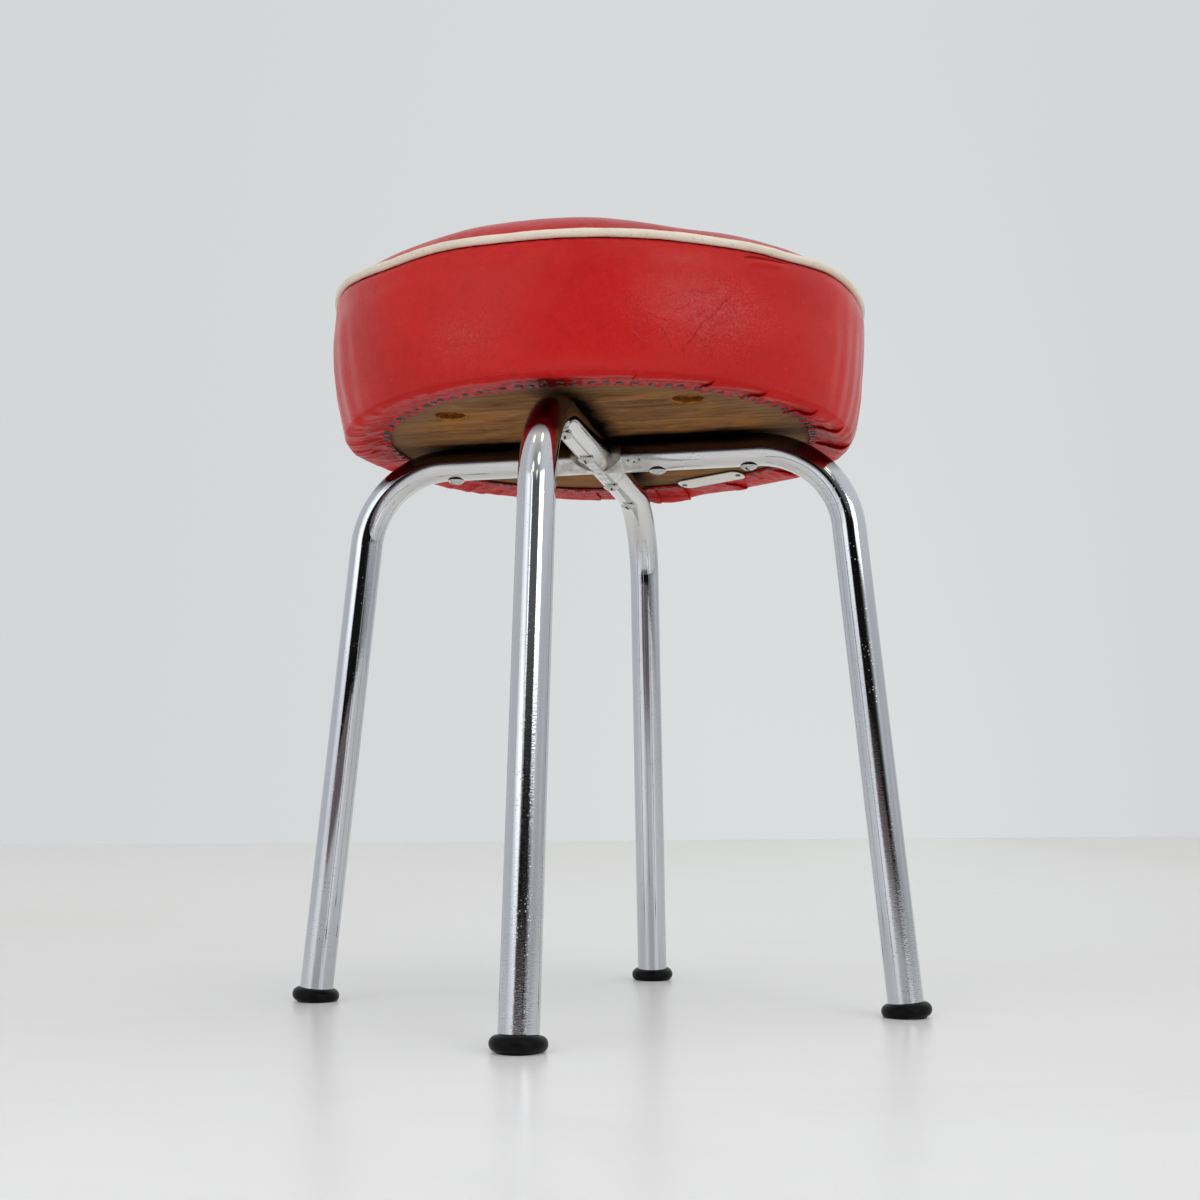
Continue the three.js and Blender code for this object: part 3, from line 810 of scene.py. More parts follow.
def make_screws():
    mesh = screw_mesh()
    arms = {
        "right": (0, (0.3, 1.1)),
        "rear": (1, (0.2, -0.3)),
        "left": (2, (1.4, 0.7)),
        "front": (3, (-0.1, 0.4)),
    }
    height = axis_height - tube_radius - touch_gap
    for side, (quarter, slot_turns) in arms.items():
        for place, slot_turn in zip(("inner", "outer"), slot_turns):
            piece = bpy.data.objects.new(f"{side}_{place}_screw_slotted", mesh.copy())
            bpy.context.scene.collection.objects.link(piece)
            arm = Matrix.Rotation(quarter * math.pi / 2, 4, "Z")
            local = Matrix.Translation((screw_radii[place], 0, height))
            local = local @ Matrix.Rotation(slot_turn, 4, "Z")
            piece.data.transform(arm @ local)
            stands_for(piece, "screw_metal", f"{side}_{place}_screw")


# Plywood board

def circle_spline(curve, centre, radius, points):
    spline = curve.splines.new("POLY")
    spline.points.add(points - 1)
    for place, point in enumerate(spline.points):
        angle = 2 * math.pi * place / points
        point.co = (centre[0] + radius * math.cos(angle), centre[1] + radius * math.sin(angle), 0, 1)
    spline.use_cyclic_u = True


def make_board():
    curve = bpy.data.curves.new("board_outline", "CURVE")
    curve.dimensions = "2D"
    curve.fill_mode = "BOTH"
    curve.extrude = (board_top - board_underside) / 2 - board_edge_round
    curve.bevel_depth = board_edge_round
    curve.bevel_resolution = 2
    curve.offset = -board_edge_round
    circle_spline(curve, (0, 0), board_radius, 160)
    for angle in vent_angles:
        centre = (vent_reach * math.cos(angle), vent_reach * math.sin(angle))
        circle_spline(curve, centre, vent_radius, 48)
    source = bpy.data.objects.new("board_outline", curve)
    bpy.context.scene.collection.objects.link(source)
    mesh = bpy.data.meshes.new_from_object(source.evaluated_get(bpy.context.evaluated_depsgraph_get()))
    bpy.data.objects.remove(source)
    mesh.transform(Matrix.Translation((0, 0, (board_top + board_underside) / 2)))
    edit = bmesh.new()
    edit.from_mesh(mesh)
    bmesh.ops.remove_doubles(edit, verts=edit.verts, dist=0.01 * mm)
    bmesh.ops.recalc_face_normals(edit, faces=edit.faces)
    edit.to_mesh(mesh)
    edit.free()
    mesh.shade_smooth()
    mesh.set_sharp_from_angle(angle=math.radians(30))
    mesh.materials.clear()
    mesh.materials.append(wood)
    piece = bpy.data.objects.new("plywood_board", mesh)
    bpy.context.scene.collection.objects.link(piece)
    stands_for(piece, "plywood", "seat_board")


# Cover

def seam_lift(theta):
    """How much higher the seam stands at the two sides than at the front and rear."""
    away = np.abs(np.degrees(theta))
    left = seam_lift_near_left * smooth(away, 93, 112) + seam_lift_left * smooth(away, 120, 154)
    right = seam_lift_near_right * smooth(-away, -58, -43) + seam_lift_right * smooth(-away, -42, -21)
    return left + right


def spline_rows(points, steps):
    """Rows of a smooth curve through control points, each a radius and height for every column."""
    controls = np.array(points)
    rows = []
    last = len(controls) - 1
    for span_start in range(last):
        before = controls[max(span_start - 1, 0)]
        start = controls[span_start]
        end = controls[span_start + 1]
        after = controls[min(span_start + 2, last)]
        count = steps[span_start]
        for step in range(count):
            t = step / count
            first = 2 * start
            second = (end - before) * t
            third = (2 * before - 5 * start + 4 * end - after) * t**2
            fourth = (3 * start - before - 3 * end + after) * t**3
            rows.append((first + second + third + fourth) / 2)
    rows.append(controls[last])
    return np.array(rows)


def band_controls(theta):
    """The side band's outer face, from under the piping, down to the rolled lip and in to the cut edge."""
    seam = seam_height + seam_lift(theta)
    sides = np.cos(theta) ** 2
    left = (1 - np.cos(theta)) / 2
    degrees = np.degrees(theta)
    raised = 4.4 * hump((degrees + 11) % 360, 180, 19)
    raised += 1.5 * hump(degrees, 4, 14)
    sagging = 5.0 * hump(degrees, 83, 7)
    drop = (4.3 + (5.2 - 1.6 * left) * sides**2 - 1.3 * np.sin(theta) - raised + sagging) * mm
    cut_edge = board_radius - (27.5 - 6.5 * sides) * mm
    flange = board_underside - flange_depth

    def at(reach, height):
        return np.stack([board_radius + reach + 0 * theta, height + 0 * theta], axis=-1)

    return [
        at(12.9 * mm, seam - 2.7 * mm),
        at(14.1 * mm, seam - 3.7 * mm),
        at(15.3 * mm, seam - 6.3 * mm),
        at((16.2 - 0.4 * left) * mm, seam - 13.4 * mm),
        at((15.5 + 1.4 * left) * mm, board_underside + 53.5 * mm),
        at((13.6 + 1.3 * left) * mm, board_underside + 29 * mm),
        at(11.4 * mm, board_underside + 12.5 * mm),
        at(8.9 * mm, board_underside + 1.5 * mm),
        at((6.0 + 1.4 * left * sides) * mm, board_underside - 0.6 * drop),
        at((1.5 + 2.4 * left * sides) * mm, board_underside - drop),
        at(-4.5 * mm, board_underside - 0.86 * drop),
        at(-11 * mm, flange - 0.28 * (drop - flange_depth)),
        at(-16.5 * mm, flange),
        np.stack([cut_edge, flange + 0 * theta], axis=-1),
    ]


band_steps = [4, 7, 16, 15, 48, 33, 18, 9, 8, 7, 7, 6, 9]
fold_nose = [
    (0.0, 0.0), (0.55, -0.02), (0.5, 0.28), (0.0, 0.52),
    (-0.55, 0.72), (-0.75, 0.9), (-0.5, 1.02), (0.0, 1.08),
]


def band_columns():
    """Each column's fold, angle, sideways and outward shift, and share of the way to the next fold."""
    columns = []
    spacing = math.radians(fold_step)
    for index, (tip, _, _) in enumerate(folds):
        start = math.radians(tip)
        end = math.radians(folds[(index + 1) % len(folds)][0])
        if end <= start:
            end += 2 * math.pi
        for place, (shift, height) in enumerate(fold_nose):
            columns.append((index, start + place * spacing, shift, height, 0.0))
        body_start = start + len(fold_nose) * spacing
        angle = body_start
        while angle < end - spacing:
            share = (angle - body_start) / (end - body_start)
            columns.append((index, angle, 0.0, 1.08 * (1 - share) ** 1.3, share))
            handled = handled_ends[0] < math.degrees(angle) < handled_ends[1]
            angle += math.radians(handled_step if handled else column_step)
    return np.array(columns)


def normals_of(rows):
    """Unit vectors square to each profile, pointing out of the seat, as radius and height."""
    along = np.gradient(rows, axis=0)
    out = np.stack([-along[..., 1], along[..., 0]], axis=-1)
    return out / np.linalg.norm(out, axis=-1, keepdims=True)


def tack_places():
    """Angle and radius of each tack, a little uneven as set by hand."""
    random = np.random.default_rng(11)
    places = []
    for index in range(tack_count):
        theta = -math.pi + 2 * math.pi * (index + random.uniform(-0.18, 0.18)) / tack_count
        sides = math.cos(theta) ** 2
        radius = board_radius - (23.2 - 4.2 * sides) * mm + random.uniform(-0.7, 0.7) * mm
        places.append((theta, radius))
    return places


# Handling creases pressed in the band: angle and height in mm of both ends, and strength
crease_lines = [
    ((-66.5, 395), (-63.4, 380), 0.8), ((-62.0, 382.6), (-58.8, 397), 0.9),
    ((-58.8, 397), (-53.3, 414.5), 0.9), ((-57.8, 383), (-56.4, 392), 0.5),
    ((-60.5, 400), (-57.0, 409), 0.5), ((-64.0, 404), (-60.0, 411), 0.4),
    ((-56.0, 398), (-52.0, 405), 0.4), ((-61.0, 416), (-55.5, 420), 0.4),
    ((-69.0, 402), (-65.5, 398), 0.4), ((-59.0, 388), (-55.0, 401), 0.4),
    ((-52.5, 388), (-49.0, 394), 0.3), ((-71.5, 392), (-68.5, 386), 0.3),
]


def crease_marks(degrees, tall):
    """How deep in a handling crease each point of the band is, 0 to 1."""
    marks = np.zeros(tall.shape)
    arc = piping_radius * np.radians(degrees)
    for (start_angle, start_height), (end_angle, end_height), strength in crease_lines:
        first = np.array([piping_radius * math.radians(start_angle), start_height * mm])
        way = np.array([piping_radius * math.radians(end_angle), end_height * mm]) - first
        reach = np.clip(((arc - first[0]) * way[0] + (tall - first[1]) * way[1]) / (way @ way), 0, 1)
        bow = 0.6 * mm * np.sin(reach * 9)
        distance = np.hypot(arc - first[0] - way[0] * reach, tall - first[1] - way[1] * reach - bow)
        marks += strength * hump(distance, 0, 0.5 * mm)
    return np.clip(marks, 0, 1)


def ripples(degrees, spacing, shift=0):
    """Even waves round the seat, a spacing of degrees apart."""
    return np.sin(degrees * (2 * math.pi / spacing) + shift)


def tuck_slit(degrees, travel):
    """The slit under the piping at the front right: its strength, and each point's distance from it."""
    strength = smooth(degrees, -50, -47.5) * smooth(-degrees, 39, 41.5)
    return strength, travel - (5.6 - 0.32 * (degrees + 50)) * mm


def upright_swells(points, degrees, travel, lip_travel):
    """How far soft swells, gathers, the slit and the handled dent push the upright face out."""
    tall = points[..., 2]
    face = smooth(-travel, -lip_travel, -12 * mm) * smooth(travel, 1 * mm, 9 * mm)
    down = smooth(-tall, -(seam_height - 4 * mm), -(seam_height - 30 * mm))
    left_zone = smooth(degrees, -166, -158) * smooth(-degrees, 134, 141)
    right_zone = smooth(degrees, -27, -18) * smooth(-degrees, -30, -8)
    push = 0.34 * mm * left_zone * down * ripples(degrees + 145, 9.5, math.pi / 2)
    push += 0.22 * mm * right_zone * down * ripples(degrees, 6.2)
    push += 0.45 * mm * face * wobble(points, 75 * mm, 3)
    push += 0.12 * mm * wobble(points, 19 * mm, 4) * smooth(travel, 2 * mm, 12 * mm)
    push += 0.1 * mm * hump(travel, 2 * mm, 5 * mm) * ripples(degrees, 2.9, 2 * wobble(points, 30 * mm, 5))
    tuck, from_slit = tuck_slit(degrees, travel)
    push += tuck * mm * (0.8 * hump(from_slit, 3.2 * mm, 2 * mm) - 2.8 * hump(from_slit, 0, 0.75 * mm))
    dent = 1.0 * hump(tall, 394 * mm, 12 * mm) - 0.6 * hump(tall, 423 * mm, 14 * mm)
    return push + hump(degrees, handled_angle, 13) * mm * dent


def flange_creases(points, theta, degrees, from_lip):
    """How far small radial creases push the vinyl out where it turns under."""
    stretched = np.stack([theta * board_radius, 0.2 * from_lip + 0 * theta, 0 * theta], axis=-1)
    ridges = np.abs(wobble(stretched, 6.5 * mm, 6)) - 0.5
    depth = (0.55 + 0.5 * smooth(np.abs(degrees), 105, 135)) * mm
    push = depth * ridges * smooth(from_lip, -5 * mm, 4 * mm)
    return push + 0.25 * mm * wobble(points, 6 * mm, 7) * smooth(from_lip, -1 * mm, 8 * mm)


def tack_dimples(theta, radius):
    """How far each tack draws the flange up."""
    dimples = np.zeros(radius.shape)
    for tack_theta, tack_place in tack_places():
        across = ((theta - tack_theta + math.pi) % (2 * math.pi) - math.pi) * radius
        dimples += 0.8 * mm * hump(np.hypot(across, radius - tack_place), 0, 3.2 * mm)
    return dimples


def band_wear(points, theta, degrees, travel, from_lip):
    """Where the band is worn by handling, which also places its painted highlights, and where painted shade
    darkens it.
    """
    tall = points[..., 2]
    worn = hump(degrees, handled_angle, 11) * hump(tall, 408 * mm, 19 * mm)
    # A fainter patch round -104 degrees, where the pale flecks paint a second highlight
    worn += 0.6 * hump(degrees, -104, 7) * hump(tall, 396 * mm, 14 * mm)
    beside_tube = np.abs(points[..., :2]).min(axis=-1)
    # Painted shade: darker next to the front tube and over the turned-under flange
    painted_shade = 0.6 * hump(beside_tube, 0, 16 * mm) * smooth(from_lip, 0, 9 * mm) * (np.sin(theta) < -0.5)
    painted_shade += 0.18 * smooth(from_lip, 2 * mm, 12 * mm)
    # Painted shadow: a dark line in the slit under the piping
    tuck, from_slit = tuck_slit(degrees, travel)
    return np.clip(0.12 + worn, 0, 1), painted_shade + 0.9 * tuck * hump(from_slit, 0, 0.8 * mm)


def side_band():
    columns = band_columns()
    index, base, shift, height, share = columns.T
    index = index.astype(int)
    shift = np.radians(shift)
    turns = np.radians([fold[1] for fold in folds])
    depth = np.array([fold[2] for fold in folds])[index] * mm
    turn = turns[index] * (1 - share) + turns[(index + 1) % len(folds)] * share
    theta_wrapped = (base + math.pi) % (2 * math.pi) - math.pi
    rows = spline_rows(band_controls(theta_wrapped), band_steps)
    out = normals_of(rows)
    steps = np.linalg.norm(np.diff(rows, axis=0), axis=-1).mean(axis=1)
    travel = np.concatenate([[0], np.cumsum(steps)])[:, None]
    from_lip = travel - travel[sum(band_steps[:9])]
    inward = smooth(from_lip, -6 * mm, from_lip[-1])
    strength = smooth(from_lip, -5 * mm, 2 * mm) * (1 - 0.6 * smooth(from_lip, 8 * mm, 24 * mm))
    theta = base + shift * strength + turn * inward
    push = depth * (height - 0.42) * strength
    degrees = np.degrees((theta + math.pi) % (2 * math.pi) - math.pi)
    tall = rows[..., 1]
    points = around(rows[..., 0], theta, tall)
    push += upright_swells(points, degrees, travel, -from_lip[0])
    creases = crease_marks(degrees, tall) * (from_lip < 0)
    push -= 0.3 * mm * creases
    push += flange_creases(points, theta, degrees, from_lip)
    cut_wave = 0.7 * mm * wobble(points[-1:], 26 * mm, 8) * smooth(from_lip, 18 * mm, from_lip[-1])
    radius = rows[..., 0] + out[..., 0] * push + cut_wave
    level = tall + out[..., 1] * push + tack_dimples(theta, radius) * (from_lip > 8 * mm)
    level = np.where(from_lip > 12 * mm, np.minimum(level, board_underside - 1.5 * mm), level)
    outer = around(radius, theta, level)

    hem_radius = piping_radius - cord_radius - touch_gap - sewn_edge
    seam = seam_height + seam_lift(theta_wrapped)
    half = vinyl / 2
    top = [
        around(hem_radius, base, seam - half - touch_gap - vinyl),
        around(hem_radius, base, seam - half - touch_gap),
        around(piping_radius - cord_radius - touch_gap, base, seam - half - touch_gap),
        around(piping_radius - 2.7 * mm, base, seam - 2.2 * mm),
    ]
    inner = (rows - out * vinyl)[::-6]
    inner = inner[(inner[..., 1] < seam - half - vinyl).all(axis=1)]
    grid = np.concatenate([np.array(top), outer, around(inner[..., 0], base, inner[..., 1])])
    piece = closed_grid("side_band_vinyl", grid, red_vinyl, closed_rows=True, sharp_angle=70)
    worn, painted_shade = band_wear(around(radius, theta, tall), theta, degrees, travel, from_lip)
    # worn also places painted highlights; the last attribute is painted shade
    marked = [("crease", 1 - creases, 1.0), ("worn", worn, 0.1), ("painted_shade", painted_shade, 0.0)]
    for name, values, elsewhere in marked:
        marks = np.full(grid.shape[:2], elsewhere)
        marks[len(top):len(top) + len(rows)] = values
        vertex_values(piece, name, marks.reshape(-1))
    piece.data.materials.append(matt_vinyl)
    turned_under = np.zeros(grid.shape[:2], dtype=np.int32)
    turned_under[len(top) + sum(band_steps[:8]):len(top) + len(rows)] = 1
    piece.data.polygons.foreach_set("material_index", turned_under.ravel())
    facing_out(piece)
    stands_for(piece, "red_vinyl", "side_band")
    return outer[(from_lip > 8 * mm).ravel()].reshape(-1, 3)


def hollow(share, theta):
    """How far the crown has sunk near the front right rim."""
    near = hump(np.degrees(theta), handled_angle, 16)
    return 4.0 * mm * near * smooth(share, 0.35, 0.85) * (1 - share**12)


def crown(share, theta):
    """The top's height over the seam, at a share of the way out from its middle."""
    degrees = np.degrees(theta)
    fuller = 1.3 * smooth(np.abs(degrees), 85, 135) + smooth(-np.abs(degrees), -35, -5)
    rise = crown_height * (1 - share ** (crown_power + fuller))
    return rise + seam_lift(theta) * share**4 - hollow(share, theta)


def polar_rows(radius_shares, theta, edge_radius, edge_height, sink):
    rows = [around(edge_radius * s, theta, edge_height + crown(s, theta) - sink) for s in radius_shares]
    return np.array(rows)


def top_panel():
    theta = ring_angles(480, -math.pi)
    half = vinyl / 2
    edge_radius = piping_radius - cord_radius - touch_gap
    edge_height = seam_height + half + touch_gap
    near_rim = [0.991, 0.996, 1.0]
    shares = np.concatenate([np.linspace(0.01, 0.8, 34), np.linspace(0.815, 0.985, 22), near_rim])
    outer = polar_rows(shares, theta, edge_radius, edge_height, 0)
    settle = smooth(shares, 0.0, 0.5)[:, None] * (1 - smooth(shares, 0.94, 1.0)[:, None])
    outer[..., 2] += 0.7 * mm * wobble(outer, 95 * mm, 21) * settle
    outer[..., 2] += 0.12 * mm * wobble(outer, 16 * mm, 22) * settle
    seam_zone = smooth(shares, 0.93, 0.985) * (1 - smooth(shares, 0.99, 1.0))
    degrees = np.degrees(theta)[None]
    outer[..., 2] += 0.3 * mm * seam_zone[:, None] * ripples(degrees, 3.1, wobble(outer, 28 * mm, 23))
    hem_radius = edge_radius - sewn_edge
    seam = edge_height + seam_lift(theta)
    hem = [around(hem_radius, theta, seam), around(hem_radius, theta, seam + vinyl)]
    inner_shares = np.linspace(0.945, 0.01, 30)
    inner = polar_rows(inner_shares, theta, edge_radius, edge_height, vinyl * 1.3)
    grid = np.concatenate([outer, np.array(hem), inner])
    piece = closed_grid("top_panel_vinyl", grid, matt_vinyl, sharp_angle=60)
    vertex_values(piece, "crease", 1.0)
    vertex_values(piece, "worn", 0.1)
    # An even painted shade over the whole top
    vertex_values(piece, "painted_shade", 0.17)
    facing_out(piece)
    stands_for(piece, "red_vinyl", "top_panel")


def piping():
    theta = ring_angles(720, -math.pi)
    seam = seam_height + seam_lift(theta)
    half = vinyl / 2
    edge_angle = math.asin(half / cord_radius)
    cord_rows = 21
    rows = []
    for step in range(cord_rows):
        angle = edge_angle - math.pi + (2 * math.pi - 2 * edge_angle) * step / (cord_rows - 1)
        reach = piping_radius + cord_radius * math.cos(angle)
        rows.append(around(reach, theta, seam + cord_radius * math.sin(angle)))
    hem_radius = piping_radius - cord_radius - touch_gap - sewn_edge
    rows += [around(hem_radius, theta, seam + half), around(hem_radius, theta, seam - half)]
    grid = np.array(rows)
    centre = around(piping_radius, theta, seam)
    swell = 0.035 * wobble(centre, 22 * mm, 31) + 0.02 * wobble(centre, 6 * mm, 32)
    grid[:cord_rows] = centre + (grid[:cord_rows] - centre) * (1 + swell)[None, :, None]
    piece = closed_grid("piping_cord", grid, cream_vinyl, closed_rows=True, sharp_angle=50)
    facing_out(piece)
    stands_for(piece, "cream_vinyl", "piping")


def revolved(profile, columns):
    """Rows of points from a profile of radius and height, lifted with the seam and sunk with the crown."""
    theta = ring_angles(columns, -math.pi)
    rows = []
    for radius, height in profile:
        outwards = (radius / piping_radius) ** 4
        upwards = smooth(height, board_top, seam_height)
        sunk = hollow(min(radius / piping_radius, 1), theta) * upwards
        lifted = height + seam_lift(theta) * outwards * upwards - sunk
        rows.append(around(radius, theta, lifted))
    return np.array(rows)


def make_padding():
    """Cotton felt over and round the pad, and the pad of bonded coconut fibre on the board."""
    edge_radius = piping_radius - cord_radius - touch_gap
    edge_height = seam_height + vinyl / 2 + touch_gap
    pad_depth = cover_depth + wadding_thickness

    def crown_at(radius, sink):
        share = radius / edge_radius
        return edge_height + crown_height * (1 - share**crown_power) - sink

    top_radii = np.linspace(0.96, 0.02, 26) * board_radius
    low_profile = [(-9, -0.5), (0, -0.8), (2.5, 1.5), (7, 14), (11.2, 34)]
    high_profile = [(12.2, -16), (11.5, -6), (3.5, -3.6), (3.5, 3.2)]
    outside = [(board_radius + reach * mm, board_underside + rise * mm) for reach, rise in low_profile]
    outside += [(board_radius + reach * mm, seam_height + rise * mm) for reach, rise in high_profile]
    outside += [(radius, crown_at(radius, cover_depth)) for radius in top_radii]
    inside = [(radius, crown_at(radius, pad_depth)) for radius in top_radii[::-1]]
    inside += [(board_radius + 0.4 * mm, height) for height in (seam_height, board_underside - 0.4 * mm)]
    grid = revolved(outside + inside, 240)
    grid += 0.35 * mm * wobble(grid, 14 * mm, 51)[..., None]
    felt_piece = facing_out(closed_grid("cotton_wadding", grid, felt, closed_rows=True, sharp_angle=70))
    stands_for(felt_piece, "cotton", "wadding")

    bottom_radii = np.linspace(0.02, 0.99, 30) * board_radius
    side_heights = np.linspace(board_top + 3 * mm, seam_height - 2 * mm, 16)
    pad_radii = np.linspace(0.97, 0.02, 30) * board_radius
    pad = [(radius, board_top + 0.4 * mm) for radius in bottom_radii]
    pad += [(board_radius - 0.8 * mm, height) for height in side_heights]
    pad += [(radius, crown_at(radius, pad_depth + 1.2 * mm)) for radius in pad_radii]
    grid = revolved(pad, 240)
    rough = wobble(grid, 9 * mm, 52) + 0.7 * wobble(grid, 4 * mm, 53)
    underside = slice(2, len(bottom_radii) - 1)
    upper = slice(len(bottom_radii), None)
    grid[upper, :, 2] += 0.3 * mm * rough[upper]
    grid[underside, :, 2] += 0.25 * mm * (rough[underside] + 1.5)
    pad_piece = facing_out(closed_grid("coconut_fibre_pad", grid, fibre, sharp_angle=70))
    stands_for(pad_piece, "coir", "fibre_pad")


def make_tacks(flange):
    """Domed heads driven through the flange, joined in one piece."""
    random = np.random.default_rng(12)
    points = []
    faces = []
    sides = 20
    turns = ring_angles(sides)
    profile = [(1.0, 0.0), (0.985, 0.3), (0.9, 0.6), (0.68, 0.86), (0.38, 0.97), (0.12, 1.0)]
    for theta, radius in tack_places():
        target = Vector((radius * math.cos(theta), radius * math.sin(theta), 0))
        gap = np.hypot(flange[:, 0] - target.x, flange[:, 1] - target.y)
        target.z = float(np.median(flange[gap < 2.4 * mm][:, 2])) + 0.35 * mm
        tilt = Matrix.Rotation(random.uniform(-0.12, 0.12), 3, "X")
        tilt = tilt @ Matrix.Rotation(random.uniform(-0.12, 0.12), 3, "Y")
        size = random.uniform(0.93, 1.06)
        first = len(points)
        head = [around(tack_radius * reach * size, turns, -tack_height * drop) for reach, drop in profile]
        head = np.vstack([*head, (0, 0, -tack_height), (0, 0, 0.05 * mm)])
        points += [target + tilt @ Vector(offset) for offset in head]
        pole = len(profile) * sides
        shape = grid_faces(len(profile), sides, False) + cap_faces(len(profile), sides, pole + 1, pole)
        faces += [[first + corner for corner in face] for face in shape]
    piece = mesh_piece("upholstery_tacks", points, faces, tack_metal, 50)
    facing_out(piece)
    stands_for(piece, None)


def make_plate():
    """A small bare plate pinned under the board. Its outer long edge rests on the tacked vinyl."""
    half_length = plate_length / 2
    half_width = plate_width / 2
    end_round = half_width * 0.75
    end_steps = 12
    outline = []
    for end in (1, -1):
        for step in range(end_steps + 1):
            angle = -math.pi / 2 + math.pi * step / end_steps
            x = end * (half_length - end_round + end_round * math.cos(angle))
            outline.append((x, end * half_width * math.sin(angle)))
    edit = bmesh.new()
    vertices = [edit.verts.new((x, y, 0)) for x, y in outline]
    face = edit.faces.new(vertices)
    extruded = bmesh.ops.extrude_face_region(edit, geom=[face])
    moved = [item for item in extruded["geom"] if isinstance(item, bmesh.types.BMVert)]
    bmesh.ops.translate(edit, vec=(0, 0, -plate_thickness), verts=moved)
    bmesh.ops.bevel(edit, geom=list(edit.edges), offset=0.15 * mm, segments=2, affect="EDGES")
    for side in (-1, 1):
        pin_place = Matrix.Translation((side * half_length * 0.86, 0, -plate_thickness - 0.2 * mm))
        pin = bmesh.ops.create_cone(
            edit, cap_ends=True, segments=20, radius1=pin_radius - 0.5 * mm, radius2=pin_radius,
            depth=0.5 * mm, matrix=pin_place,
        )
        for vertex in pin["verts"]:
            for linked in vertex.link_faces:
                linked.material_index = 1
    bmesh.ops.recalc_face_normals(edit, faces=edit.faces)
    mesh = bpy.data.meshes.new("bare_plate")
    edit.to_mesh(mesh)
    edit.free()
    mesh.shade_smooth()
    mesh.set_sharp_from_angle(angle=math.radians(35))
    mesh.materials.append(plate_metal)
    mesh.materials.append(tack_metal)
    direction = Vector((*plate_direction, 0)).normalized()
    across = Vector((-direction.y, direction.x, 0))
    side = across * math.cos(plate_tilt) + Vector((0, 0, -math.sin(plate_tilt)))
    turn = Matrix((direction, side, direction.cross(side))).transposed().to_4x4()
    height = board_underside - 2.1 * mm
    mesh.transform(Matrix.Translation((*plate_centre, height)) @ turn)
    piece = bpy.data.objects.new("bare_plate", mesh)
    bpy.context.scene.collection.objects.link(piece)
    stands_for(piece, "screw_metal")


make_tubes()
make_welds()
make_feet()
make_screws()
make_board()
flange_points = side_band()
top_panel()
piping()
make_padding()
make_tacks(flange_points)
make_plate()


# Stage

def plane(name, corners, material):
    mesh = bpy.data.meshes.new(name)
    mesh.from_pydata([tuple(corner) for corner in corners], [], [(0, 1, 2, 3)])
    mesh.materials.append(material)
    thing = bpy.data.objects.new(name, mesh)
    bpy.context.scene.collection.objects.link(thing)
    return thing


def seen_share(graph):
    """1 for what the camera sees, by itself or in metal, and 0 for other light."""
    path = graph.add("LightPath").outputs
    return graph.math("MAXIMUM", path["Is Camera Ray"], path["Is Glossy Ray"])


def floor_material():
    """Pale painted floor, with a few specks. Painted light and shade: darker round the stool, lighter toward
    the camera and far away, darker to both sides, and dark behind the camera.
    """
    graph = Graph("painted_floor")
    place = graph.place()
    parts = graph.parts(place)
    # Painted light: darker round the stool, lighter toward the camera and far away
    away = graph.span(parts["Y"], 0.0, 7.0)
    near = graph.mix(graph.span(parts["Y"], -0.5, -0.1), (0.91, 0.92, 0.965), (0.86, 0.87, 0.895))
    colour = graph.mix(away, near, (0.91, 0.92, 0.915))
    swirls = graph.noise(graph.stretched(place, (1, 2.5, 1), (0, 0, 0.5)), 3.0, 6, 0.65, 1.5)
    colour = graph.mix(graph.span(swirls, 0.45, 0.7, 0, 0.5), colour, (0.81, 0.815, 0.82))
    # Painted shade to both sides
    to_left = graph.span(parts["X"], -0.9, -0.1, 0.6, 0)
    side_shade = graph.math("MAXIMUM", graph.span(parts["X"], 0.3, 1.3), to_left)
    colour = graph.mix(side_shade, colour, (0.80, 0.79, 0.775))
    # Painted shade on the floor behind the camera, seen only in reflections
    behind = graph.times(parts["Y"], -1.0)
    bearing = graph.math("DIVIDE", parts["X"], graph.math("MAXIMUM", behind, 0.1))
    shaded = graph.times(graph.span(bearing, -0.3, -0.2), graph.span(bearing, 0.62, 0.75, 1, 0))
    shaded = graph.times(shaded, graph.span(behind, 1.2, 2.0))
    colour = graph.mix(shaded, colour, (0.07, 0.035, 0.035))
    specks = graph.span(graph.cells(place, 34), 0.03, 0.06, 1, 0)
    sparse = graph.span(graph.noise(place, 7, 2), 0.56, 0.66, 0, 0.6)
    colour = graph.mix(graph.times(specks, sparse), colour, (0.3, 0.3, 0.3))
    lift = graph.times(seen_share(graph), graph.span(parts["Y"], -0.5, 0.3, 0.085, 0.04))
    glow = {"Emission_Color": (0.96, 0.99, 1.04), "Emission_Strength": lift}
    return graph.finish(Base_Color=colour, Roughness=0.28, Specular_IOR_Level=0.5, **glow)


def low_material():
    return Graph("low_reddish_thing").finish(Base_Color=(0.46, 0.37, 0.4), Roughness=0.8)


def wall_material():
    """A pale wall, brightest low behind the stool, shown at its own colour."""
    graph = Graph("pale_wall")
    parts = graph.parts(graph.place())
    along = graph.span(parts["X"], -6.8, -2.5)
    back = graph.span(parts["X"], 0.0, 7.0, 1, 0)
    low = graph.span(parts["Z"], 1.0, 15.0, 1, 0.35)
    bright = graph.times(graph.times(along, back), low)
    shade = graph.mix(bright, linear(211, 213, 215.5), linear(218, 221.5, 222))
    seen = graph.add("Emission", {"Color": shade, "Strength": 1.0}).outputs[0]
    unseen = graph.add("BsdfDiffuse", {"Color": (0.7, 0.7, 0.7, 1)}).outputs[0]
    mixed = graph.add("MixShader", {0: seen_share(graph), 1: unseen, 2: seen}).outputs[0]
    graph.links.new(mixed, graph.output.inputs["Surface"])
    return graph.material


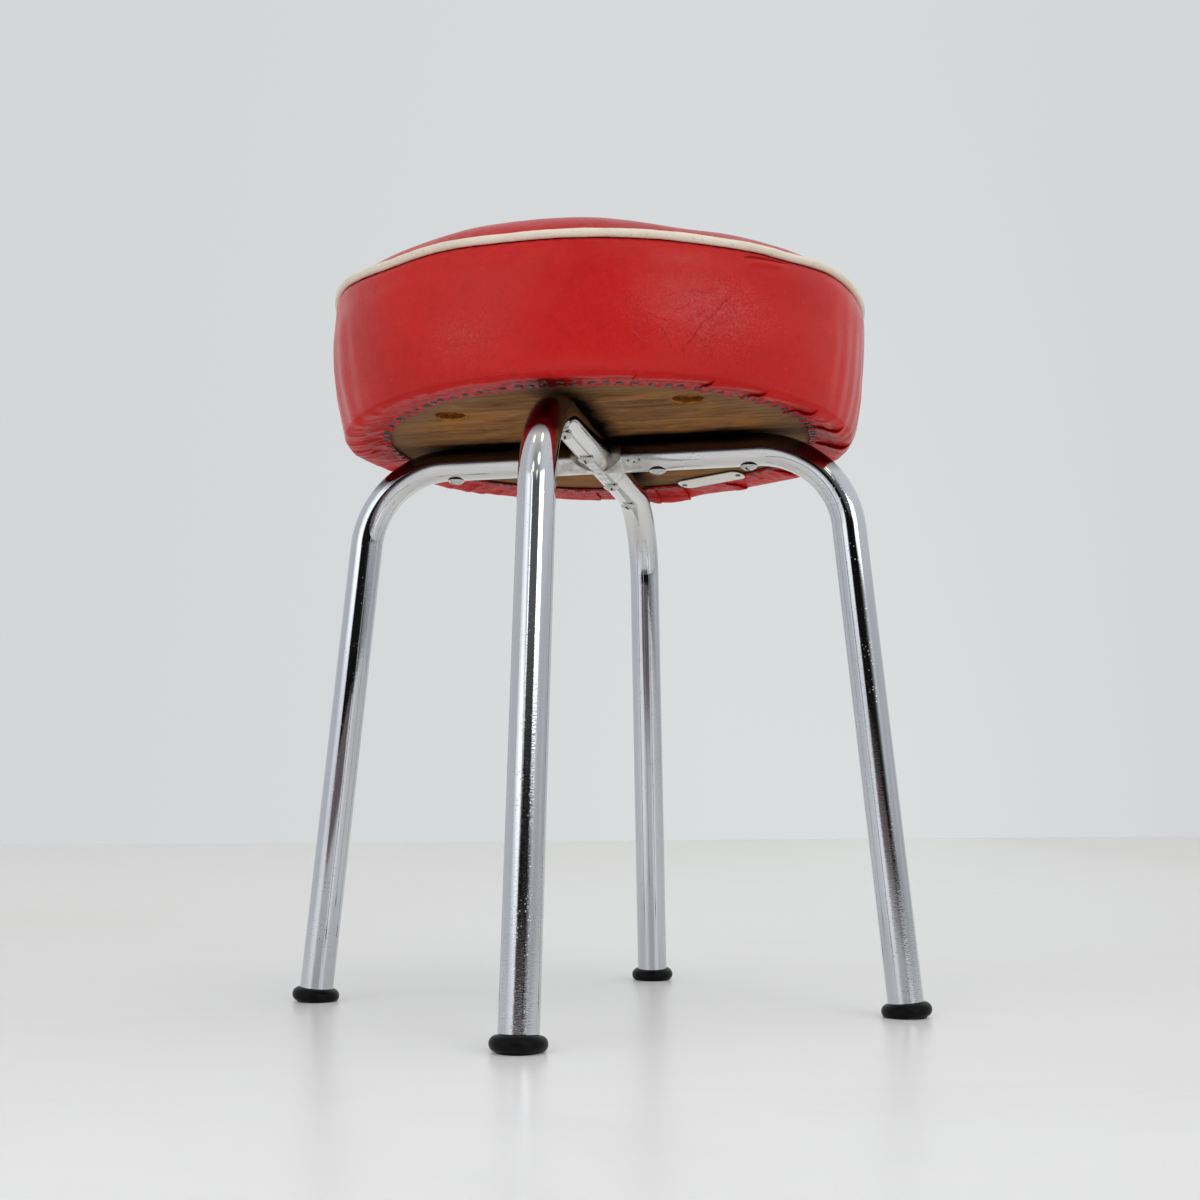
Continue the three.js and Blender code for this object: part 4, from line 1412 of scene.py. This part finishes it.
def make_stage():
    reach = 60
    left, right, behind, low_height = -1.1, 1.5, -3.1, 0.27
    low_thing = [(left, behind, 0), (right, behind, 0)]
    low_thing += [(right, behind, low_height), (left, behind, low_height)]
    plane("low_thing_behind", low_thing, low_material())
    corners = [(-reach, -reach, 0), (reach, -reach, 0), (reach, reach, 0), (-reach, reach, 0)]
    plane("floor", corners, floor_material())
    wall_left = Vector((-6.6, 8.9, 0))
    wall_right = Vector((7.8, 42.6, 0))
    along = (wall_right - wall_left).normalized() * 40
    start = wall_left - along * 0.5
    end = wall_right + along * 0.3
    top = Vector((0, 0, 60))
    plane("wall", [start, end, end + top, start + top], wall_material())


# The room round the stool: rings from the floor up, each of azimuth in degrees and brightness
room_low = [
    (-180, 0.72), (-165, 0.8), (-142, 0.86), (-128, 1.05), (-118, 1.15), (-109, 1.0), (-105, 0.01),
    (-60, 0.012), (-52, 0.06), (-44, 0.3), (-34, 0.7), (-20, 0.6), (-8, 0.55), (10, 0.66), (20, 0.66),
    (32, 0.5), (50, 0.66), (180, 0.72),
]
room_skirting = [
    (-180, 0.72), (-142, 0.86), (-128, 1.0), (-115, 0.8), (-109, 0.6), (-104, 0.006), (-52, 0.008),
    (-40, 0.06), (-30, 0.3), (-12, 0.42), (4, 0.5), (14, 0.6), (32, 0.5), (50, 0.66), (180, 0.72),
]
room_middle = [
    (-180, 0.72), (-152, 0.9), (-137, 1.3), (-126, 2.0), (-112, 2.0), (-107, 0.9), (-103, 0.006),
    (-60, 0.006), (-52, 0.1), (-44, 0.35), (-34, 0.75), (-14, 0.6), (180, 0.72),
]
room_windows = [
    (-180, 0.75), (-140, 1.1), (-128, 1.55), (-119, 1.5), (-112, 0.8), (-106, 0.65), (-104.5, 2.4),
    (-101.5, 2.4), (-99, 0.13), (-60, 0.13), (-56, 0.6), (-54, 5.0), (-33, 5.0), (-30, 0.75), (180, 0.75),
]
room_high = [
    (-180, 0.82), (-128, 0.85), (-110, 0.6), (-99, 0.36), (-66, 0.36), (-54, 0.7), (-30, 0.8), (180, 0.8),
]
room_ceiling = (0.80, 0.76, 0.69)
room_brightest = 5.0
dark_top = 15

# Warm lamps overhead: azimuth, height and half size in degrees
lamp_light = (2.6, 2.5, 1.9)
lamps = [(-125, 59, 4), (-52, 61, 5), (-67, 40, 6), (-101, 33, 4), (-75, 28, 2), (-110, 28, 2)]


def heading(azimuth, elevation):
    """The unit vector that points at an azimuth and a height given in degrees."""
    angle = math.radians(azimuth)
    rise = math.radians(elevation)
    return Vector((math.cos(angle) * math.cos(rise), math.sin(angle) * math.cos(rise), math.sin(rise)))


def make_world():
    """A pale room with two windows, lamps overhead and a dark part behind the camera."""
    world = bpy.data.worlds.new("pale_room")
    bpy.context.scene.world = world
    graph = Graph("room", world)
    way = graph.add("TexCoord").outputs["Generated"]
    direction = graph.parts(way)
    round_it = graph.math("ARCTAN2", direction["Y"], direction["X"])
    azimuth = graph.span(round_it, -math.pi, math.pi)
    elevation = graph.math("ARCSINE", direction["Z"])

    def ring(stops):
        ramp = graph.add("ValToRGB", {"Fac": azimuth})
        elements = ramp.color_ramp.elements
        while len(elements) < len(stops):
            elements.new(0.5)
        for element, (angle, brightness) in zip(elements, stops):
            element.position = (angle + 180) / 360
            share = brightness / room_brightest
            element.color = (share, share, share, 1)
        return ramp.outputs["Color"]

    def above(angle, blend):
        return graph.span(elevation, math.radians(angle - blend), math.radians(angle + blend))

    light = graph.mix(above(3.7, 1.5), ring(room_skirting), ring(room_low))
    light = graph.mix(above(9, 3), light, ring(room_middle))
    light = graph.mix(above(dark_top, 1.5), light, ring(room_windows))
    light = graph.mix(above(26.5, 1.5), light, ring(room_high))
    ceiling = tuple(channel / room_brightest for channel in room_ceiling)
    light = graph.mix(above(54, 12), light, ceiling)
    lamp_shares = tuple(channel / room_brightest for channel in lamp_light)
    for lamp_azimuth, lamp_height, half_size in lamps:
        inputs = {0: way, 1: tuple(heading(lamp_azimuth, lamp_height))}
        facing = graph.add("VectorMath", inputs, operation="DOT_PRODUCT").outputs["Value"]
        edge = math.cos(math.radians(half_size + 1))
        core = math.cos(math.radians(half_size - 1))
        light = graph.mix(graph.span(facing, edge, core), light, lamp_shares)
    tinted = graph.mix(1.0, light, (0.985, 1.0, 1.01), "MULTIPLY")
    graph.finish(Color=tinted, Strength=room_brightest)


def area_light(name, azimuth, elevation, distance, size, power, colour, aim):
    out = heading(azimuth, elevation)
    lamp = bpy.data.lights.new(name, "AREA")
    lamp.shape = "RECTANGLE"
    lamp.size = size[0]
    lamp.size_y = size[1]
    lamp.energy = power
    lamp.color = colour
    thing = bpy.data.objects.new(name, lamp)
    thing.location = Vector(aim) + out * distance
    thing.rotation_mode = "QUATERNION"
    thing.rotation_quaternion = out.to_track_quat("Z", "Y")
    thing.visible_glossy = False
    bpy.context.scene.collection.objects.link(thing)
    return thing


def make_lights():
    seat = (0, 0, 0.42)
    area_light("ceiling_light", -30, 66, 4.0, (3, 3), 16, (1.0, 0.95, 0.87), seat)
    area_light("front_light", -96, 12, 4.0, (2, 1.5), 14, (1.0, 0.96, 0.9), seat)


def make_camera():
    data = bpy.data.cameras.new("camera")
    data.lens = camera_lens
    data.sensor_width = camera_sensor
    data.clip_start = 0.01
    data.clip_end = 200
    thing = bpy.data.objects.new("camera", data)
    forward = heading(90 + math.degrees(camera_azimuth), math.degrees(camera_pitch))
    level_right = Vector((math.cos(camera_azimuth), math.sin(camera_azimuth), 0))
    level_up = level_right.cross(forward)
    right = level_right * math.cos(camera_roll) + level_up * math.sin(camera_roll)
    up = right.cross(forward)
    turn = Matrix((right, up, -forward)).transposed()
    thing.matrix_world = Matrix.Translation(camera_place) @ turn.to_4x4()
    bpy.context.scene.collection.objects.link(thing)
    bpy.context.scene.camera = thing


make_stage()
make_world()
make_lights()
make_camera()
bpy.context.scene.view_settings.view_transform = "Standard"
